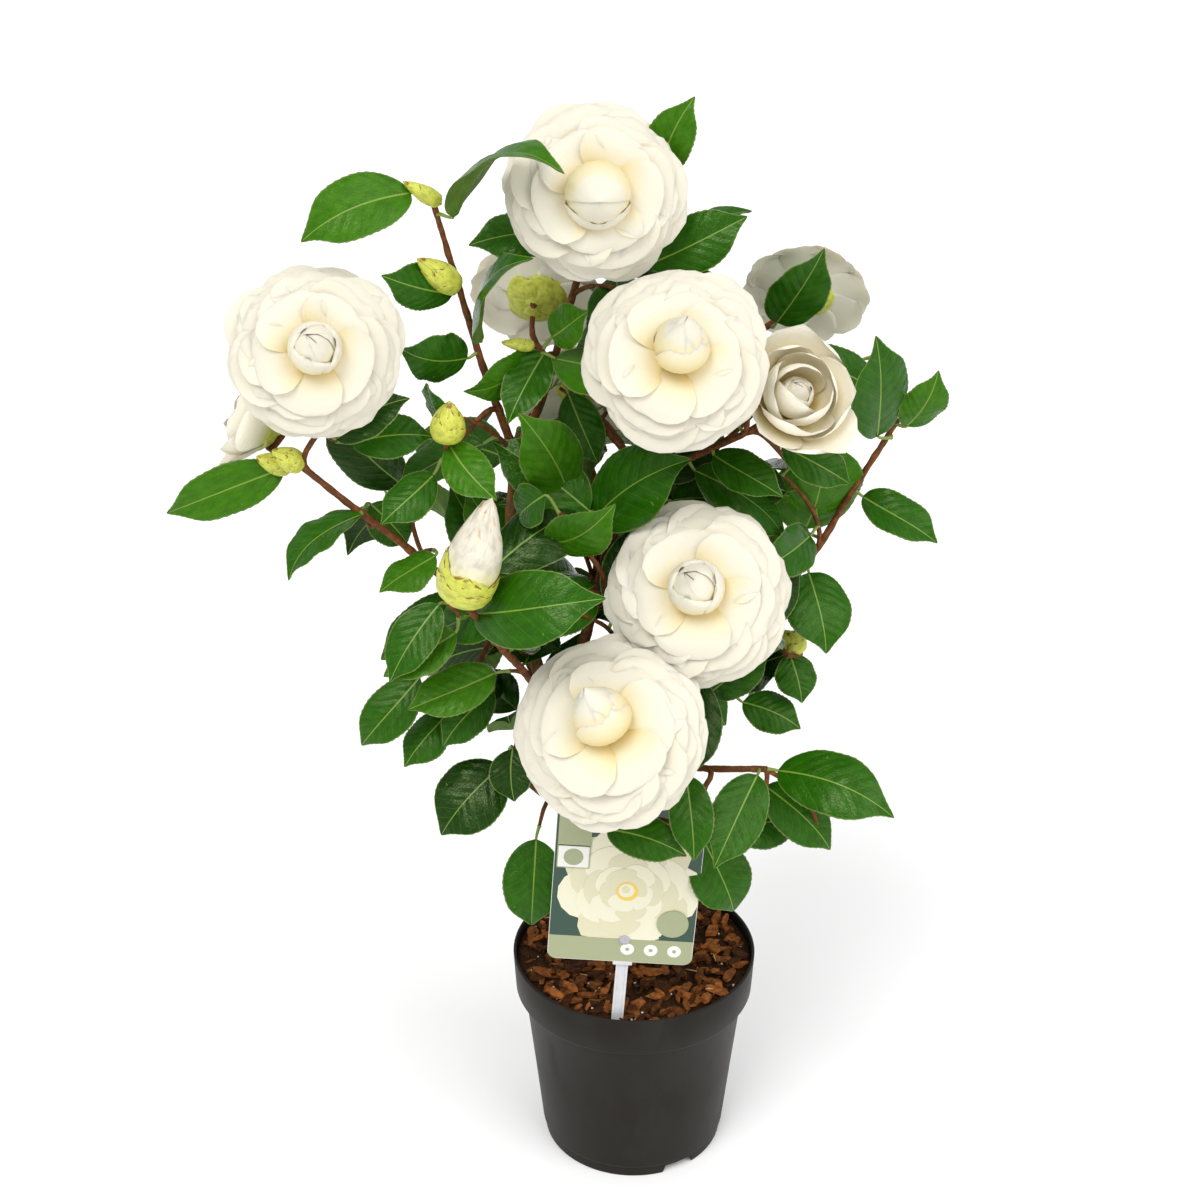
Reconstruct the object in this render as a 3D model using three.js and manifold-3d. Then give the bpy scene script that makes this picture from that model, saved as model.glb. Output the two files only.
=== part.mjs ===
// A white-flowered camellia shrub growing in its black nursery pot.
// Millimetres, +Z up, +X to the right and +Y away from the side that the label faces.
// The origin is the centre of the pot's flat underside.
import * as THREE from "three";
import { mergeVertices } from "three/addons/utils/BufferGeometryUtils.js";
import Module from "manifold-3d";

const wasm = await Module();
wasm.setup();

// ---------------------------------------------------------------- driving dimensions
const GAP = 0.35;                    // clearance between neighbouring solids

const POT_RIM_RADIUS = 75;           // a "15 cm" nursery pot
const POT_HEIGHT = 135;
const POT_BASE_RADIUS = 57.5;
const POT_BODY_TOP_RADIUS = 68.5;
const POT_RIM_BAND = 25;             // height of the thickened band round the mouth
const POT_RIM_TAPER = 1.2;           // the band is this much narrower at its lower edge
const POT_SHOULDER_CHAMFER = 3.5;
const POT_WALL = 1.8;
const POT_FOOT_HEIGHT = 8;           // below this the wall steps in to the foot ring
const POT_FOOT_RADIUS = 55.8;
const POT_DRAIN_OUTER = 53.8;        // the drain channel under the floor, inside the foot ring
const POT_DRAIN_INNER = 45.5;
const POT_DRAIN_HEIGHT = 6;
const POT_SEGMENTS = 26;
const NOTCHES = 3;                   // openings in the foot ring
const NOTCH_WIDTH = 25;
const NOTCH_ANGLE = THREE.MathUtils.degToRad(-60);

const SOIL_LEVEL = 131;              // just under the rim
const SOIL_RIPPLE = 0.9;

const CARD_WIDTH = 84;
const CARD_HEIGHT = 112;
const CARD_THICKNESS = 0.9;
const CARD_CORNER = 5;
const CARD_CENTRE = [-6, -68, 230];
const CARD_ROLL = THREE.MathUtils.degToRad(4);     // it leans clockwise, seen from the front
const STICK_WIDTH = 7;
const STICK_THICKNESS = 1.6;
const STICK_DEPTH = 14;              // how far the stick stands in the soil
const BUTTON_RADIUS = 3.2;
const BUTTON_THICKNESS = 1.2;
const BUTTON_HEIGHT = 16;            // above the card's lower edge
const STICK_OVERLAP = 30;            // how far the stick runs up behind the card
const STICK_OFFSET = 2;              // to the right of the card's middle
const LABEL_CLEARANCE = 1.5;         // between the label and the leaves

const LIMB_SIDES = 5;
const LIMB_STEP = 34;                // length of limb to each ring of faces
const ROOT_FLARE = 4.5;              // extra radius of the stem where it leaves the soil
const FLARE_RATE = 9;

const LEAF_WIDTH = 44;               // a leaf and the twig behind it, as one lobe
const LEAF_THICKNESS = 15;
const LEAF_OVERRUN = 3;              // a lobe runs on past the leaf's tip
const LEAF_STALK = 12;               // and back past its foot, over the stalk
const BLOOM_DEPTH = 34;              // a bloom with its sepals
const SMALL_BLOOM = 40;              // blooms up to this radius are drawn with fewer faces
const UNEVENNESS = 0.07;

const COLOURS = {
  pot: [0x35312c, 0.6],
  soil: [0x4f3426, 0.95],
  card: [0xe9e7df, 0.35],
  bark: [0x7b5c45, 0.8],
  twig: [0x6e4331, 0.7],
  leaves: [0x2c6b22, 0.4],
  petals: [0xf1edda, 0.55],
};

const plant = new THREE.Group();

// ---------------------------------------------------------------- solids and meshes
function toSolid(geometry) {
  const bare = geometry.clone();
  bare.deleteAttribute("normal");
  bare.deleteAttribute("uv");
  const merged = mergeVertices(bare, 1e-4);
  const corners = merged.index.array;
  const triVerts = [];
  for (let i = 0; i < corners.length; i += 3) {
    const [a, b, c] = [corners[i], corners[i + 1], corners[i + 2]];
    if (a !== b && b !== c && c !== a) triVerts.push(a, b, c);
  }
  return new wasm.Manifold(new wasm.Mesh({
    numProp: 3,
    vertProperties: new Float32Array(merged.attributes.position.array),
    triVerts: new Uint32Array(triVerts),
  }));
}

function toGeometry(solid) {
  const mesh = solid.getMesh();
  const geometry = new THREE.BufferGeometry();
  geometry.setAttribute("position", new THREE.BufferAttribute(mesh.vertProperties, 3));
  geometry.setIndex(new THREE.BufferAttribute(mesh.triVerts, 1));
  geometry.computeVertexNormals();
  return geometry;
}

function addMesh(name, geometry, [color, roughness]) {
  const material = new THREE.MeshStandardMaterial({ color, roughness, metalness: 0 });
  const mesh = new THREE.Mesh(geometry, material);
  mesh.name = name;
  plant.add(mesh);
}

// The piece that holds most of a solid which cutting has divided.
function largestPiece(solid) {
  const pieces = solid.decompose();
  return pieces.reduce((best, piece) => (piece.volume() > best.volume() ? piece : best));
}

// ---------------------------------------------------------------- pot and soil
function lathe(profile, segments) {
  const points = profile.map(([radius, z]) => new THREE.Vector2(radius, z));
  const geometry = new THREE.LatheGeometry(points, segments);
  geometry.rotateX(Math.PI / 2);
  return geometry;
}

const SHOULDER = POT_HEIGHT - POT_RIM_BAND;
const BAND_FOOT_RADIUS = POT_RIM_RADIUS - POT_RIM_TAPER;

// The inner face of the wall and floor, from the mouth down to the axis, moved in by `inset`.
function innerProfile(inset) {
  return [
    [BAND_FOOT_RADIUS - inset, SHOULDER + 1.5],
    [POT_BODY_TOP_RADIUS - inset, SHOULDER - POT_SHOULDER_CHAMFER],
    [POT_BASE_RADIUS - inset, POT_DRAIN_HEIGHT + inset],
    [POT_DRAIN_INNER - 0.4 * inset, POT_DRAIN_HEIGHT + inset],
    [POT_DRAIN_INNER - 1 - inset, inset],
    [0, inset],
  ];
}

function potSolid() {
  let pot = toSolid(lathe([
    [0, 0],
    [POT_DRAIN_INNER - 1.5, 0],
    [POT_DRAIN_INNER, POT_DRAIN_HEIGHT],
    [POT_DRAIN_OUTER, POT_DRAIN_HEIGHT],
    [POT_DRAIN_OUTER, 0],
    [POT_FOOT_RADIUS, 0],
    [POT_BASE_RADIUS - 1, POT_FOOT_HEIGHT - 0.5],
    [POT_BASE_RADIUS, POT_FOOT_HEIGHT + 0.5],
    [POT_BODY_TOP_RADIUS, SHOULDER - POT_SHOULDER_CHAMFER],
    [BAND_FOOT_RADIUS, SHOULDER],
    [POT_RIM_RADIUS, POT_HEIGHT - 1],
    [POT_RIM_RADIUS - POT_WALL / 2, POT_HEIGHT],
    [POT_RIM_RADIUS - POT_WALL, POT_HEIGHT - 1],
    ...innerProfile(POT_WALL),
  ], POT_SEGMENTS));
  for (let i = 0; i < NOTCHES; i += 1) {
    const ringMiddle = (POT_DRAIN_OUTER + POT_FOOT_RADIUS) / 2;
    const notch = new THREE.BoxGeometry(9, NOTCH_WIDTH, 2 * POT_DRAIN_HEIGHT - 0.6);
    notch.translate(ringMiddle - 1, 0, 0);
    notch.rotateZ(NOTCH_ANGLE + (i * 2 * Math.PI) / NOTCHES);
    pot = pot.subtract(toSolid(notch));
  }
  return pot;
}

function soilSolid() {
  const inset = POT_WALL + GAP;
  const geometry = lathe([
    ...innerProfile(inset).reverse(),
    [POT_RIM_RADIUS - inset - 0.4, SOIL_LEVEL - 1],
    [52, SOIL_LEVEL],
    [24, SOIL_LEVEL],
    [0, SOIL_LEVEL],
  ], POT_SEGMENTS);
  const position = geometry.attributes.position;
  for (let i = 0; i < position.count; i += 1) {
    const [x, y, z] = [position.getX(i), position.getY(i), position.getZ(i)];
    if (z > SOIL_LEVEL - 0.5 && Math.hypot(x, y) > 30) {
      position.setZ(i, z + SOIL_RIPPLE * Math.sin(x * 0.21 + 1) * Math.cos(y * 0.17));
    }
  }
  return toSolid(geometry);
}

// ---------------------------------------------------------------- label on its stick
function placeOnCard(geometry) {
  geometry.rotateY(CARD_ROLL);
  geometry.translate(...CARD_CENTRE);
  return geometry;
}

function cardGeometry(grow) {
  const [w, h, r] = [CARD_WIDTH / 2 + grow, CARD_HEIGHT / 2 + grow, CARD_CORNER];
  const outline = new THREE.Shape();
  outline.moveTo(-w + r, -h);
  outline.lineTo(w - r, -h);
  outline.absarc(w - r, -h + r, r, -Math.PI / 2, 0);
  outline.lineTo(w, h - r);
  outline.absarc(w - r, h - r, r, 0, Math.PI / 2);
  outline.lineTo(-w + r, h);
  outline.absarc(-w + r, h - r, r, Math.PI / 2, Math.PI);
  outline.lineTo(-w, -h + r);
  outline.absarc(-w + r, -h + r, r, Math.PI, Math.PI * 1.5);
  const thickness = CARD_THICKNESS + 2 * grow;
  const card = new THREE.ExtrudeGeometry(outline, {
    depth: thickness, bevelEnabled: false, curveSegments: 4,
  });
  card.translate(0, 0, -thickness / 2);
  card.rotateX(Math.PI / 2);
  return placeOnCard(card);
}

function stickGeometry(grow) {
  const top = -CARD_HEIGHT / 2 + STICK_OVERLAP;
  const bottom = SOIL_LEVEL - STICK_DEPTH - CARD_CENTRE[2];
  const stick = new THREE.BoxGeometry(
    STICK_WIDTH + 2 * grow, STICK_THICKNESS + 2 * grow, top - bottom + 2 * grow);
  const behind = (CARD_THICKNESS + STICK_THICKNESS) / 2 + GAP;
  stick.translate(STICK_OFFSET, behind, (top + bottom) / 2);
  return placeOnCard(stick);
}

function buttonGeometry() {
  const button = new THREE.CylinderGeometry(BUTTON_RADIUS, BUTTON_RADIUS, BUTTON_THICKNESS, 16);
  const front = (CARD_THICKNESS + BUTTON_THICKNESS) / 2 + GAP;
  button.translate(STICK_OFFSET, -front, -CARD_HEIGHT / 2 + BUTTON_HEIGHT);
  return placeOnCard(button);
}

// ---------------------------------------------------------------- limbs
// Each limb leaves its parent part way along it (at: 0 root to 1 tip), runs through a
// few points and thins evenly from one radius to the other. It ends inside one mass of
// foliage, except for the stem and the leader, which end at forks.
const LIMBS = [
  {
    name: "stem", from: [-3, 0, SOIL_LEVEL + GAP], radii: [6, 5],
    via: [[-12, -6, 180], [-30, -20, 245], [-45, -34, 304]],
  },
  {
    name: "leader", parent: "stem", at: 1, radii: [4.6, 3.8],
    via: [[-60, -30, 365], [-69, -25, 424], [-66, -20, 472]],
  },
  {
    name: "bough_centre", parent: "stem", at: 1, radii: [4, 3],
    via: [[-24, -22, 385], [-4, -10, 466]],
  },
  {
    name: "bough_right", parent: "stem", at: 1, radii: [3.6, 1.8], into: "mass_right_tip",
    via: [[36, -10, 342], [93, -5, 399], [117, 0, 440], [140, 5, 480]],
  },
  {
    name: "bough_left_low", parent: "stem", at: 1, radii: [3, 2], into: "mass_half_open_bud",
    via: [[-58, -60, 355], [-73, -90, 393], [-88, -108, 425]],
  },
  {
    name: "bough_front", parent: "stem", at: 0.94, radii: [3.2, 2.4], into: "mass_bloom_front",
    via: [[-36, -66, 325], [-18, -100, 350]],
  },
  {
    name: "bough_low_right", parent: "stem", at: 0.86, radii: [3, 2], into: "mass_low_right",
    via: [[10, -42, 292], [40, -55, 297], [72, -62, 301]],
  },
  {
    name: "bough_low_left", parent: "stem", at: 0.72, radii: [2.6, 1.8], into: "mass_low_left",
    via: [[-50, -30, 262], [-72, -42, 290]],
  },
  {
    name: "bough_left", parent: "leader", at: 0.3, radii: [3.2, 2], into: "mass_bloom_left",
    via: [[-92, -40, 395], [-123, -50, 431], [-152, -55, 459], [-172, -60, 480]],
  },
  {
    name: "bough_top_left", parent: "leader", at: 1, radii: [2.8, 1.6], into: "mass_tip_left",
    via: [[-80, -25, 517], [-92, -30, 565], [-104, -35, 614]],
  },
  {
    name: "bough_top", parent: "leader", at: 1, radii: [3, 2], into: "mass_bloom_top",
    via: [[-52, -6, 500], [-38, 6, 545], [-26, -8, 590]],
  },
  {
    name: "bough_cross", parent: "bough_centre", at: 1, radii: [2.4, 1.8], into: "mass_bloom_top_back",
    via: [[-20, -5, 484], [-36, 4, 500], [-56, 22, 521]],
  },
  {
    name: "bough_upper", parent: "bough_centre", at: 1, radii: [2.8, 2], into: "mass_bloom_upper_right",
    via: [[12, 8, 490], [48, 20, 515], [80, 28, 535]],
  },
  {
    name: "bough_upper_front", parent: "bough_centre", at: 0.96,
    radii: [2.6, 2], into: "mass_bloom_upper_centre",
    via: [[4, -32, 490], [14, -58, 530]],
  },
  {
    name: "bough_right_mid", parent: "bough_centre", at: 0.9, radii: [2.4, 1.8], into: "mass_cup_right",
    via: [[34, -20, 474], [60, -35, 494], [76, -45, 512]],
  },
  {
    name: "shoot_centre", parent: "bough_centre", at: 0.42, radii: [2, 1.5], into: "mass_centre_front",
    via: [[-18, -46, 408], [-28, -58, 434], [-38, -66, 456]],
  },
  {
    name: "bough_front_right", parent: "bough_centre", at: 0.3, radii: [2.8, 2.2], into: "mass_bloom_right",
    via: [[0, -50, 385], [22, -72, 410]],
  },
  {
    name: "bough_back_left", parent: "leader", at: 0.12, radii: [2.8, 1.8], into: "mass_back_left",
    via: [[-78, 10, 372], [-102, 48, 408]],
  },
  {
    name: "bough_back", parent: "bough_centre", at: 0.5, radii: [2.8, 1.8], into: "mass_back_middle",
    via: [[-22, 18, 420], [-30, 66, 452]],
  },
  {
    name: "bough_back_right", parent: "bough_right", at: 0.22, radii: [2.6, 1.8], into: "mass_back_right",
    via: [[16, 22, 350], [48, 66, 388]],
  },
];

function limbCurve(spec, curves) {
  const start = spec.parent
    ? curves.get(spec.parent).getPointAt(spec.at)
    : new THREE.Vector3(...spec.from);
  const rest = spec.via.map((point) => new THREE.Vector3(...point));
  return new THREE.CatmullRomCurve3([start, ...rest], false, "centripetal");
}

// A tapered cylinder, bent along the limb's curve.
function limbSolid(spec, curve, grow) {
  const steps = Math.max(3, Math.round(curve.getLength() / LIMB_STEP));
  const frames = curve.computeFrenetFrames(steps, false);
  const geometry = new THREE.CylinderGeometry(1, 1, 1, LIMB_SIDES, steps);
  const position = geometry.attributes.position;
  const [rootRadius, tipRadius] = spec.radii;
  for (let i = 0; i < position.count; i += 1) {
    const t = Math.min(1, Math.max(0, position.getY(i) + 0.5));
    const ring = Math.round(t * steps);
    const flare = spec.parent ? 0 : ROOT_FLARE * Math.exp(-FLARE_RATE * t);
    const radius = THREE.MathUtils.lerp(rootRadius, tipRadius, t) + flare + grow;
    const point = curve.getPointAt(t)
      .addScaledVector(frames.normals[ring], position.getX(i) * radius)
      .addScaledVector(frames.binormals[ring], -position.getZ(i) * radius);
    position.setXYZ(i, point.x, point.y, point.z);
  }
  return toSolid(geometry);
}

// ---------------------------------------------------------------- masses of foliage
// A mass is the outer shape of a few leaves and, where it carries one, a bloom. Its
// leaf lobes run from a leaf's foot to its tip, its bloom lobes are flat discs about a
// centre and face one way, and its heart ties the lobes together round the twigs.
const MASSES = [
  {
    name: "mass_bloom_top", heart: [[-18, -18, 612], 24],
    blooms: [{ at: [-22, -50, 627], faces: [0.05, -0.85, 0.5], radius: 46 }],
    leaves: [[[10, -12, 624], [26, -20, 665]], [[-40, -16, 596], [-88, -24, 590]]],
  },
  {
    name: "mass_bloom_left", heart: [[-156, -60, 516], 22],
    blooms: [{ at: [-159, -84, 556], faces: [-0.1, -0.95, 0.25], radius: 46 }],
    leaves: [[[-156, -64, 500], [-118, -58, 520]], [[-150, -50, 492], [-112, -46, 498]]],
  },
  {
    name: "mass_bloom_upper_centre", heart: [[16, -70, 546], 20],
    blooms: [{ at: [16, -86, 551], faces: [0.05, -0.9, 0.4], radius: 49 }],
  },
  {
    name: "mass_cup_right", heart: [[78, -46, 514], 20],
    blooms: [{ at: [82, -54, 525], faces: [0.2, -0.75, 0.6], radius: 31 }],
  },
  {
    name: "mass_bloom_right", heart: [[28, -74, 416], 22],
    blooms: [{ at: [33, -90, 424], faces: [0.05, -0.95, 0.3], radius: 51 }],
  },
  {
    name: "mass_bloom_front", heart: [[-16, -104, 352], 22],
    blooms: [{ at: [-14, -126, 362], faces: [0, -0.85, 0.5], radius: 52 }],
  },
  {
    name: "mass_bloom_upper_right", heart: [[86, 34, 540], 18],
    blooms: [{ at: [94, 42, 549], faces: [0.45, 0.1, 0.9], radius: 37 }],
    leaves: [[[76, 18, 540], [95, -8, 583]]],
  },
  {
    name: "mass_bloom_top_back", heart: [[-58, 34, 536], 18],
    blooms: [{ at: [-58, 40, 548], faces: [0.1, 0.5, 0.85], radius: 33 }],
    leaves: [[[-48, 46, 556], [-22, 70, 590]]],
  },
  {
    name: "mass_bloom_far_left", heart: [[-198, -28, 480], 18],
    blooms: [{ at: [-210, -14, 486], faces: [-0.8, 0.3, 0.3], radius: 26 }],
    leaves: [[[-190, -44, 474], [-249, -45, 451]]],
  },
  {
    name: "mass_half_open_bud", heart: [[-84, -108, 426], 17],
    blooms: [{ at: [-82, -116, 455], faces: [0.15, -0.1, 1], radius: 19 }],
    leaves: [[[-74, -106, 420], [-22, -122, 432]]],
  },
  {
    name: "mass_tip_left", heart: [[-104, -37, 618], 12],
    leaves: [[[-115, -40, 622], [-168, -60, 603]], [[-94, -42, 617], [-44, -70, 641]]],
  },
  {
    name: "mass_shoot_left", heart: [[-89, -32, 554], 16],
    leaves: [
      [[-96, -36, 568], [-129, -54, 583]], [[-90, -32, 534], [-122, -46, 542]],
      [[-82, -34, 546], [-57, -56, 592]],
    ],
  },
  {
    name: "mass_shoulder", heart: [[14, 2, 574], 19],
    leaves: [
      [[4, -18, 578], [52, -20, 602]], [[18, 16, 572], [60, 30, 592]],
      [[0, 20, 568], [10, 54, 598]],
    ],
  },
  {
    name: "mass_centre_left", heart: [[-103, -52, 484], 15],
    leaves: [
      [[-108, -52, 475], [-134, -68, 456]], [[-98, -54, 490], [-76, -76, 474]],
      [[-102, -48, 500], [-110, -52, 526]],
    ],
  },
  {
    name: "mass_left_middle", heart: [[-142, -50, 444], 13],
    leaves: [[[-138, -34, 446], [-126, -26, 428]], [[-150, -62, 448], [-182, -76, 426]]],
  },
  {
    name: "mass_centre_high", heart: [[-52, -20, 528], 13],
    leaves: [
      [[-58, -18, 530], [-90, -40, 516]], [[-50, -22, 524], [-68, -46, 502]],
      [[-46, -22, 540], [-28, -28, 556]],
    ],
  },
  {
    name: "mass_centre", heart: [[-36, -12, 460], 19],
    leaves: [[[-42, -30, 462], [-62, -54, 508]], [[-34, 2, 470], [-42, -4, 502]]],
  },
  {
    name: "mass_centre_right", heart: [[6, -24, 450], 18],
    leaves: [
      [[-10, -38, 444], [32, -66, 482]], [[12, -10, 454], [46, 6, 468]],
      [[18, -12, 442], [50, -22, 446]],
    ],
  },
  {
    name: "mass_centre_front", heart: [[-42, -60, 456], 14],
    leaves: [[[-46, -54, 440], [-12, -80, 470]], [[-50, -58, 466], [-64, -46, 448]]],
  },
  {
    name: "mass_right_middle", heart: [[84, -24, 466], 17],
    leaves: [
      [[46, -26, 472], [76, -44, 460]], [[84, -24, 476], [112, -30, 461]],
      [[92, -12, 430], [96, -28, 472]],
    ],
  },
  {
    name: "mass_right_tip", heart: [[138, 1, 474], 13],
    leaves: [
      [[132, -2, 484], [123, -20, 538]], [[144, 2, 484], [158, -10, 516]],
      [[140, -2, 460], [163, -20, 422]],
    ],
  },
  {
    name: "mass_left_low", heart: [[-102, -68, 408], 20],
    leaves: [
      [[-114, -66, 426], [-137, -74, 416]], [[-112, -70, 404], [-150, -82, 388]],
      [[-98, -72, 392], [-134, -86, 372]],
    ],
  },
  {
    name: "mass_left_lower", heart: [[-94, -54, 350], 18],
    leaves: [
      [[-84, -62, 360], [-124, -76, 347]], [[-114, -54, 354], [-152, -60, 318]],
      [[-106, -48, 332], [-129, -60, 303]], [[-82, -50, 342], [-108, -60, 318]],
    ],
  },
  {
    name: "mass_low_left", heart: [[-68, -44, 278], 18],
    leaves: [
      [[-80, -44, 288], [-110, -60, 258]], [[-68, -48, 300], [-66, -62, 278]],
      [[-62, -44, 252], [-61, -52, 190]],
    ],
  },
  {
    name: "mass_left_heart", heart: [[-70, -4, 388], 19],
    leaves: [
      [[-74, -4, 406], [-96, 8, 440]], [[-50, -4, 384], [-22, 2, 362]],
      [[-72, -4, 372], [-92, 4, 340]],
    ],
  },
  {
    name: "mass_right_heart", heart: [[30, -34, 356], 20],
    leaves: [
      [[40, -42, 340], [72, -50, 372]], [[26, -34, 336], [50, -36, 314]],
      [[10, -30, 372], [-8, -34, 350]],
    ],
  },
  {
    name: "mass_right_low", heart: [[84, -30, 354], 25],
    leaves: [
      [[92, -32, 368], [112, -38, 390]], [[86, -28, 344], [94, -30, 328]],
      [[72, -28, 330], [92, -30, 311]],
    ],
  },
  {
    name: "mass_low_right", heart: [[72, -62, 288], 19],
    leaves: [
      [[84, -66, 299], [138, -90, 288]], [[66, -72, 298], [42, -106, 268]],
      [[78, -58, 280], [109, -60, 248]], [[62, -58, 266], [56, -62, 208]],
    ],
  },
  {
    name: "mass_low_front", heart: [[22, -94, 288], 16],
    leaves: [[[26, -88, 306], [30, -110, 276]], [[-4, -98, 290], [24, -108, 276]]],
  },
  {
    name: "mass_back_left", heart: [[-104, 46, 414], 20],
    leaves: [
      [[-104, 34, 408], [-134, 34, 438]], [[-108, 50, 408], [-126, 82, 390]],
      [[-98, 58, 428], [-84, 90, 454]],
    ],
  },
  {
    name: "mass_back_middle", heart: [[-30, 72, 462], 20],
    blooms: [{ at: [-34, 92, 480], faces: [-0.1, 0.85, 0.5], radius: 42 }],
    leaves: [
      [[-20, 70, 464], [16, 92, 496]], [[-22, 68, 446], [4, 94, 428]],
      [[-44, 68, 450], [-72, 82, 438]],
    ],
  },
  {
    name: "mass_back_right", heart: [[50, 68, 392], 20],
    leaves: [
      [[56, 66, 394], [84, 72, 416]], [[50, 76, 384], [62, 104, 368]],
      [[40, 70, 382], [8, 84, 364]],
    ],
  },
];

const COARSE_BALL = new THREE.OctahedronGeometry(1, 1);
const FINE_BALL = new THREE.IcosahedronGeometry(1, 1);

function unevenly(direction, seed) {
  const { x, y, z } = direction;
  const swell = Math.sin(3.1 * x + seed) + Math.sin(2.7 * y + 1.7 * seed) + Math.sin(3.7 * z - seed);
  return 1 + (UNEVENNESS / 2) * swell;
}

// An uneven ellipsoid with its three half-sizes along the given axes.
function lobeSolid(ball, centre, axes, halfSizes, seed, grow) {
  const geometry = ball.clone();
  const position = geometry.attributes.position;
  const direction = new THREE.Vector3();
  for (let i = 0; i < position.count; i += 1) {
    direction.fromBufferAttribute(position, i).normalize();
    const swell = unevenly(direction, seed);
    const point = centre.clone();
    axes.forEach((axis, k) => {
      point.addScaledVector(axis, direction.getComponent(k) * (halfSizes[k] * swell + grow));
    });
    position.setXYZ(i, point.x, point.y, point.z);
  }
  return toSolid(geometry);
}

// Three axes at right angles, the third along `main` and the second as near to `hint`
// as it can be.
function axesAlong(main, hint) {
  const w = main.clone().normalize();
  const u = hint.clone().cross(w).normalize();
  const v = w.clone().cross(u);
  return [u, v, w];
}

function leafLobe([foot, tip], seed, grow) {
  const start = new THREE.Vector3(...foot);
  const end = new THREE.Vector3(...tip);
  const along = end.clone().sub(start).normalize();
  start.addScaledVector(along, -LEAF_STALK);
  end.addScaledVector(along, LEAF_OVERRUN);
  const middle = start.clone().add(end).multiplyScalar(0.5);
  const outward = new THREE.Vector3(middle.x, middle.y, 90).normalize();
  const axes = axesAlong(along, outward);
  const halfLength = start.distanceTo(end) / 2;
  const halfSizes = [LEAF_WIDTH / 2, LEAF_THICKNESS / 2, halfLength];
  return lobeSolid(COARSE_BALL, middle, axes, halfSizes, seed, grow);
}

function bloomLobe({ at, faces, radius }, seed, grow) {
  const axes = axesAlong(new THREE.Vector3(...faces), new THREE.Vector3(0, 0, 1));
  const halfDepth = Math.min(BLOOM_DEPTH / 2, radius * 0.75);
  const ball = radius > SMALL_BLOOM ? FINE_BALL : COARSE_BALL;
  return lobeSolid(ball, new THREE.Vector3(...at), axes, [radius, radius, halfDepth], seed, grow);
}

function massSolid(spec, seed, grow) {
  const [heartCentre, heartRadius] = spec.heart;
  const upright = axesAlong(new THREE.Vector3(0, 0, 1), new THREE.Vector3(0, 1, 0));
  const heartSizes = [heartRadius, heartRadius, heartRadius];
  let solid = lobeSolid(COARSE_BALL, new THREE.Vector3(...heartCentre), upright, heartSizes, seed, grow);
  (spec.blooms ?? []).forEach((bloom, k) => {
    solid = solid.add(bloomLobe(bloom, seed + k, grow));
  });
  (spec.leaves ?? []).forEach((leaf, k) => {
    solid = solid.add(leafLobe(leaf, seed + 2 * k, grow));
  });
  return solid;
}

// ---------------------------------------------------------------- assembly
function addPotAndSoil() {
  const soil = soilSolid().subtract(toSolid(stickGeometry(GAP)));
  addMesh("pot", toGeometry(potSolid()), COLOURS.pot);
  addMesh("root_ball", toGeometry(soil), COLOURS.soil);
}

function addLabel() {
  addMesh("label_card", toGeometry(toSolid(cardGeometry(0))), COLOURS.card);
  addMesh("label_stick", toGeometry(toSolid(stickGeometry(0))), COLOURS.card);
  addMesh("label_button", toGeometry(toSolid(buttonGeometry())), COLOURS.card);
}

// The soil and what lies under it, which cuts the stem's foot off flat at ground level.
function groundSolid() {
  const size = 60;
  const ground = new THREE.BoxGeometry(size, size, size);
  ground.translate(0, 0, SOIL_LEVEL + GAP - size / 2);
  return toSolid(ground);
}

// Each limb gives way to those made before it and to the mass that it ends in.
// Returns every limb's curve by name.
function addLimbs() {
  const curves = new Map();
  let room = groundSolid();
  for (const spec of LIMBS) {
    const curve = limbCurve(spec, curves);
    let solid = limbSolid(spec, curve, 0).subtract(room);
    if (spec.into) {
      const seed = MASSES.findIndex((mass) => mass.name === spec.into);
      solid = solid.subtract(massSolid(MASSES[seed], seed, GAP));
    }
    addMesh(spec.name, toGeometry(largestPiece(solid)), spec.parent ? COLOURS.twig : COLOURS.bark);
    room = room.add(limbSolid(spec, curve, GAP));
    curves.set(spec.name, curve);
  }
  return curves;
}

// Each mass gives way to the label, to the masses made before it and to the limbs that
// only pass through it.
function addFoliage(curves) {
  let room = toSolid(cardGeometry(LABEL_CLEARANCE)).add(toSolid(stickGeometry(LABEL_CLEARANCE)));
  MASSES.forEach((spec, seed) => {
    let solid = massSolid(spec, seed, 0).subtract(room);
    for (const limb of LIMBS) {
      if (limb.into !== spec.name) {
        solid = solid.subtract(limbSolid(limb, curves.get(limb.name), GAP));
      }
    }
    addMesh(spec.name, toGeometry(largestPiece(solid)), spec.blooms ? COLOURS.petals : COLOURS.leaves);
    room = room.add(massSolid(spec, seed, GAP));
  });
}

addPotAndSoil();
addLabel();
addFoliage(addLimbs());

export default plant;
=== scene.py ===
"""A white camellia shrub in its nursery pot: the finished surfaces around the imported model.

The tables are in millimetres and the scene is in metres. Wood is grown along the limbs,
twigs and stalks go on from it to each leaf, bloom and bud, and a seeded rule adds the
leaves that fill the crown from behind.
"""
import math

import bpy
import numpy as np
from bpy.props import FloatProperty, FloatVectorProperty, IntProperty, PointerProperty
from mathutils import Matrix, Vector
from mathutils.bvhtree import BVHTree


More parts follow.
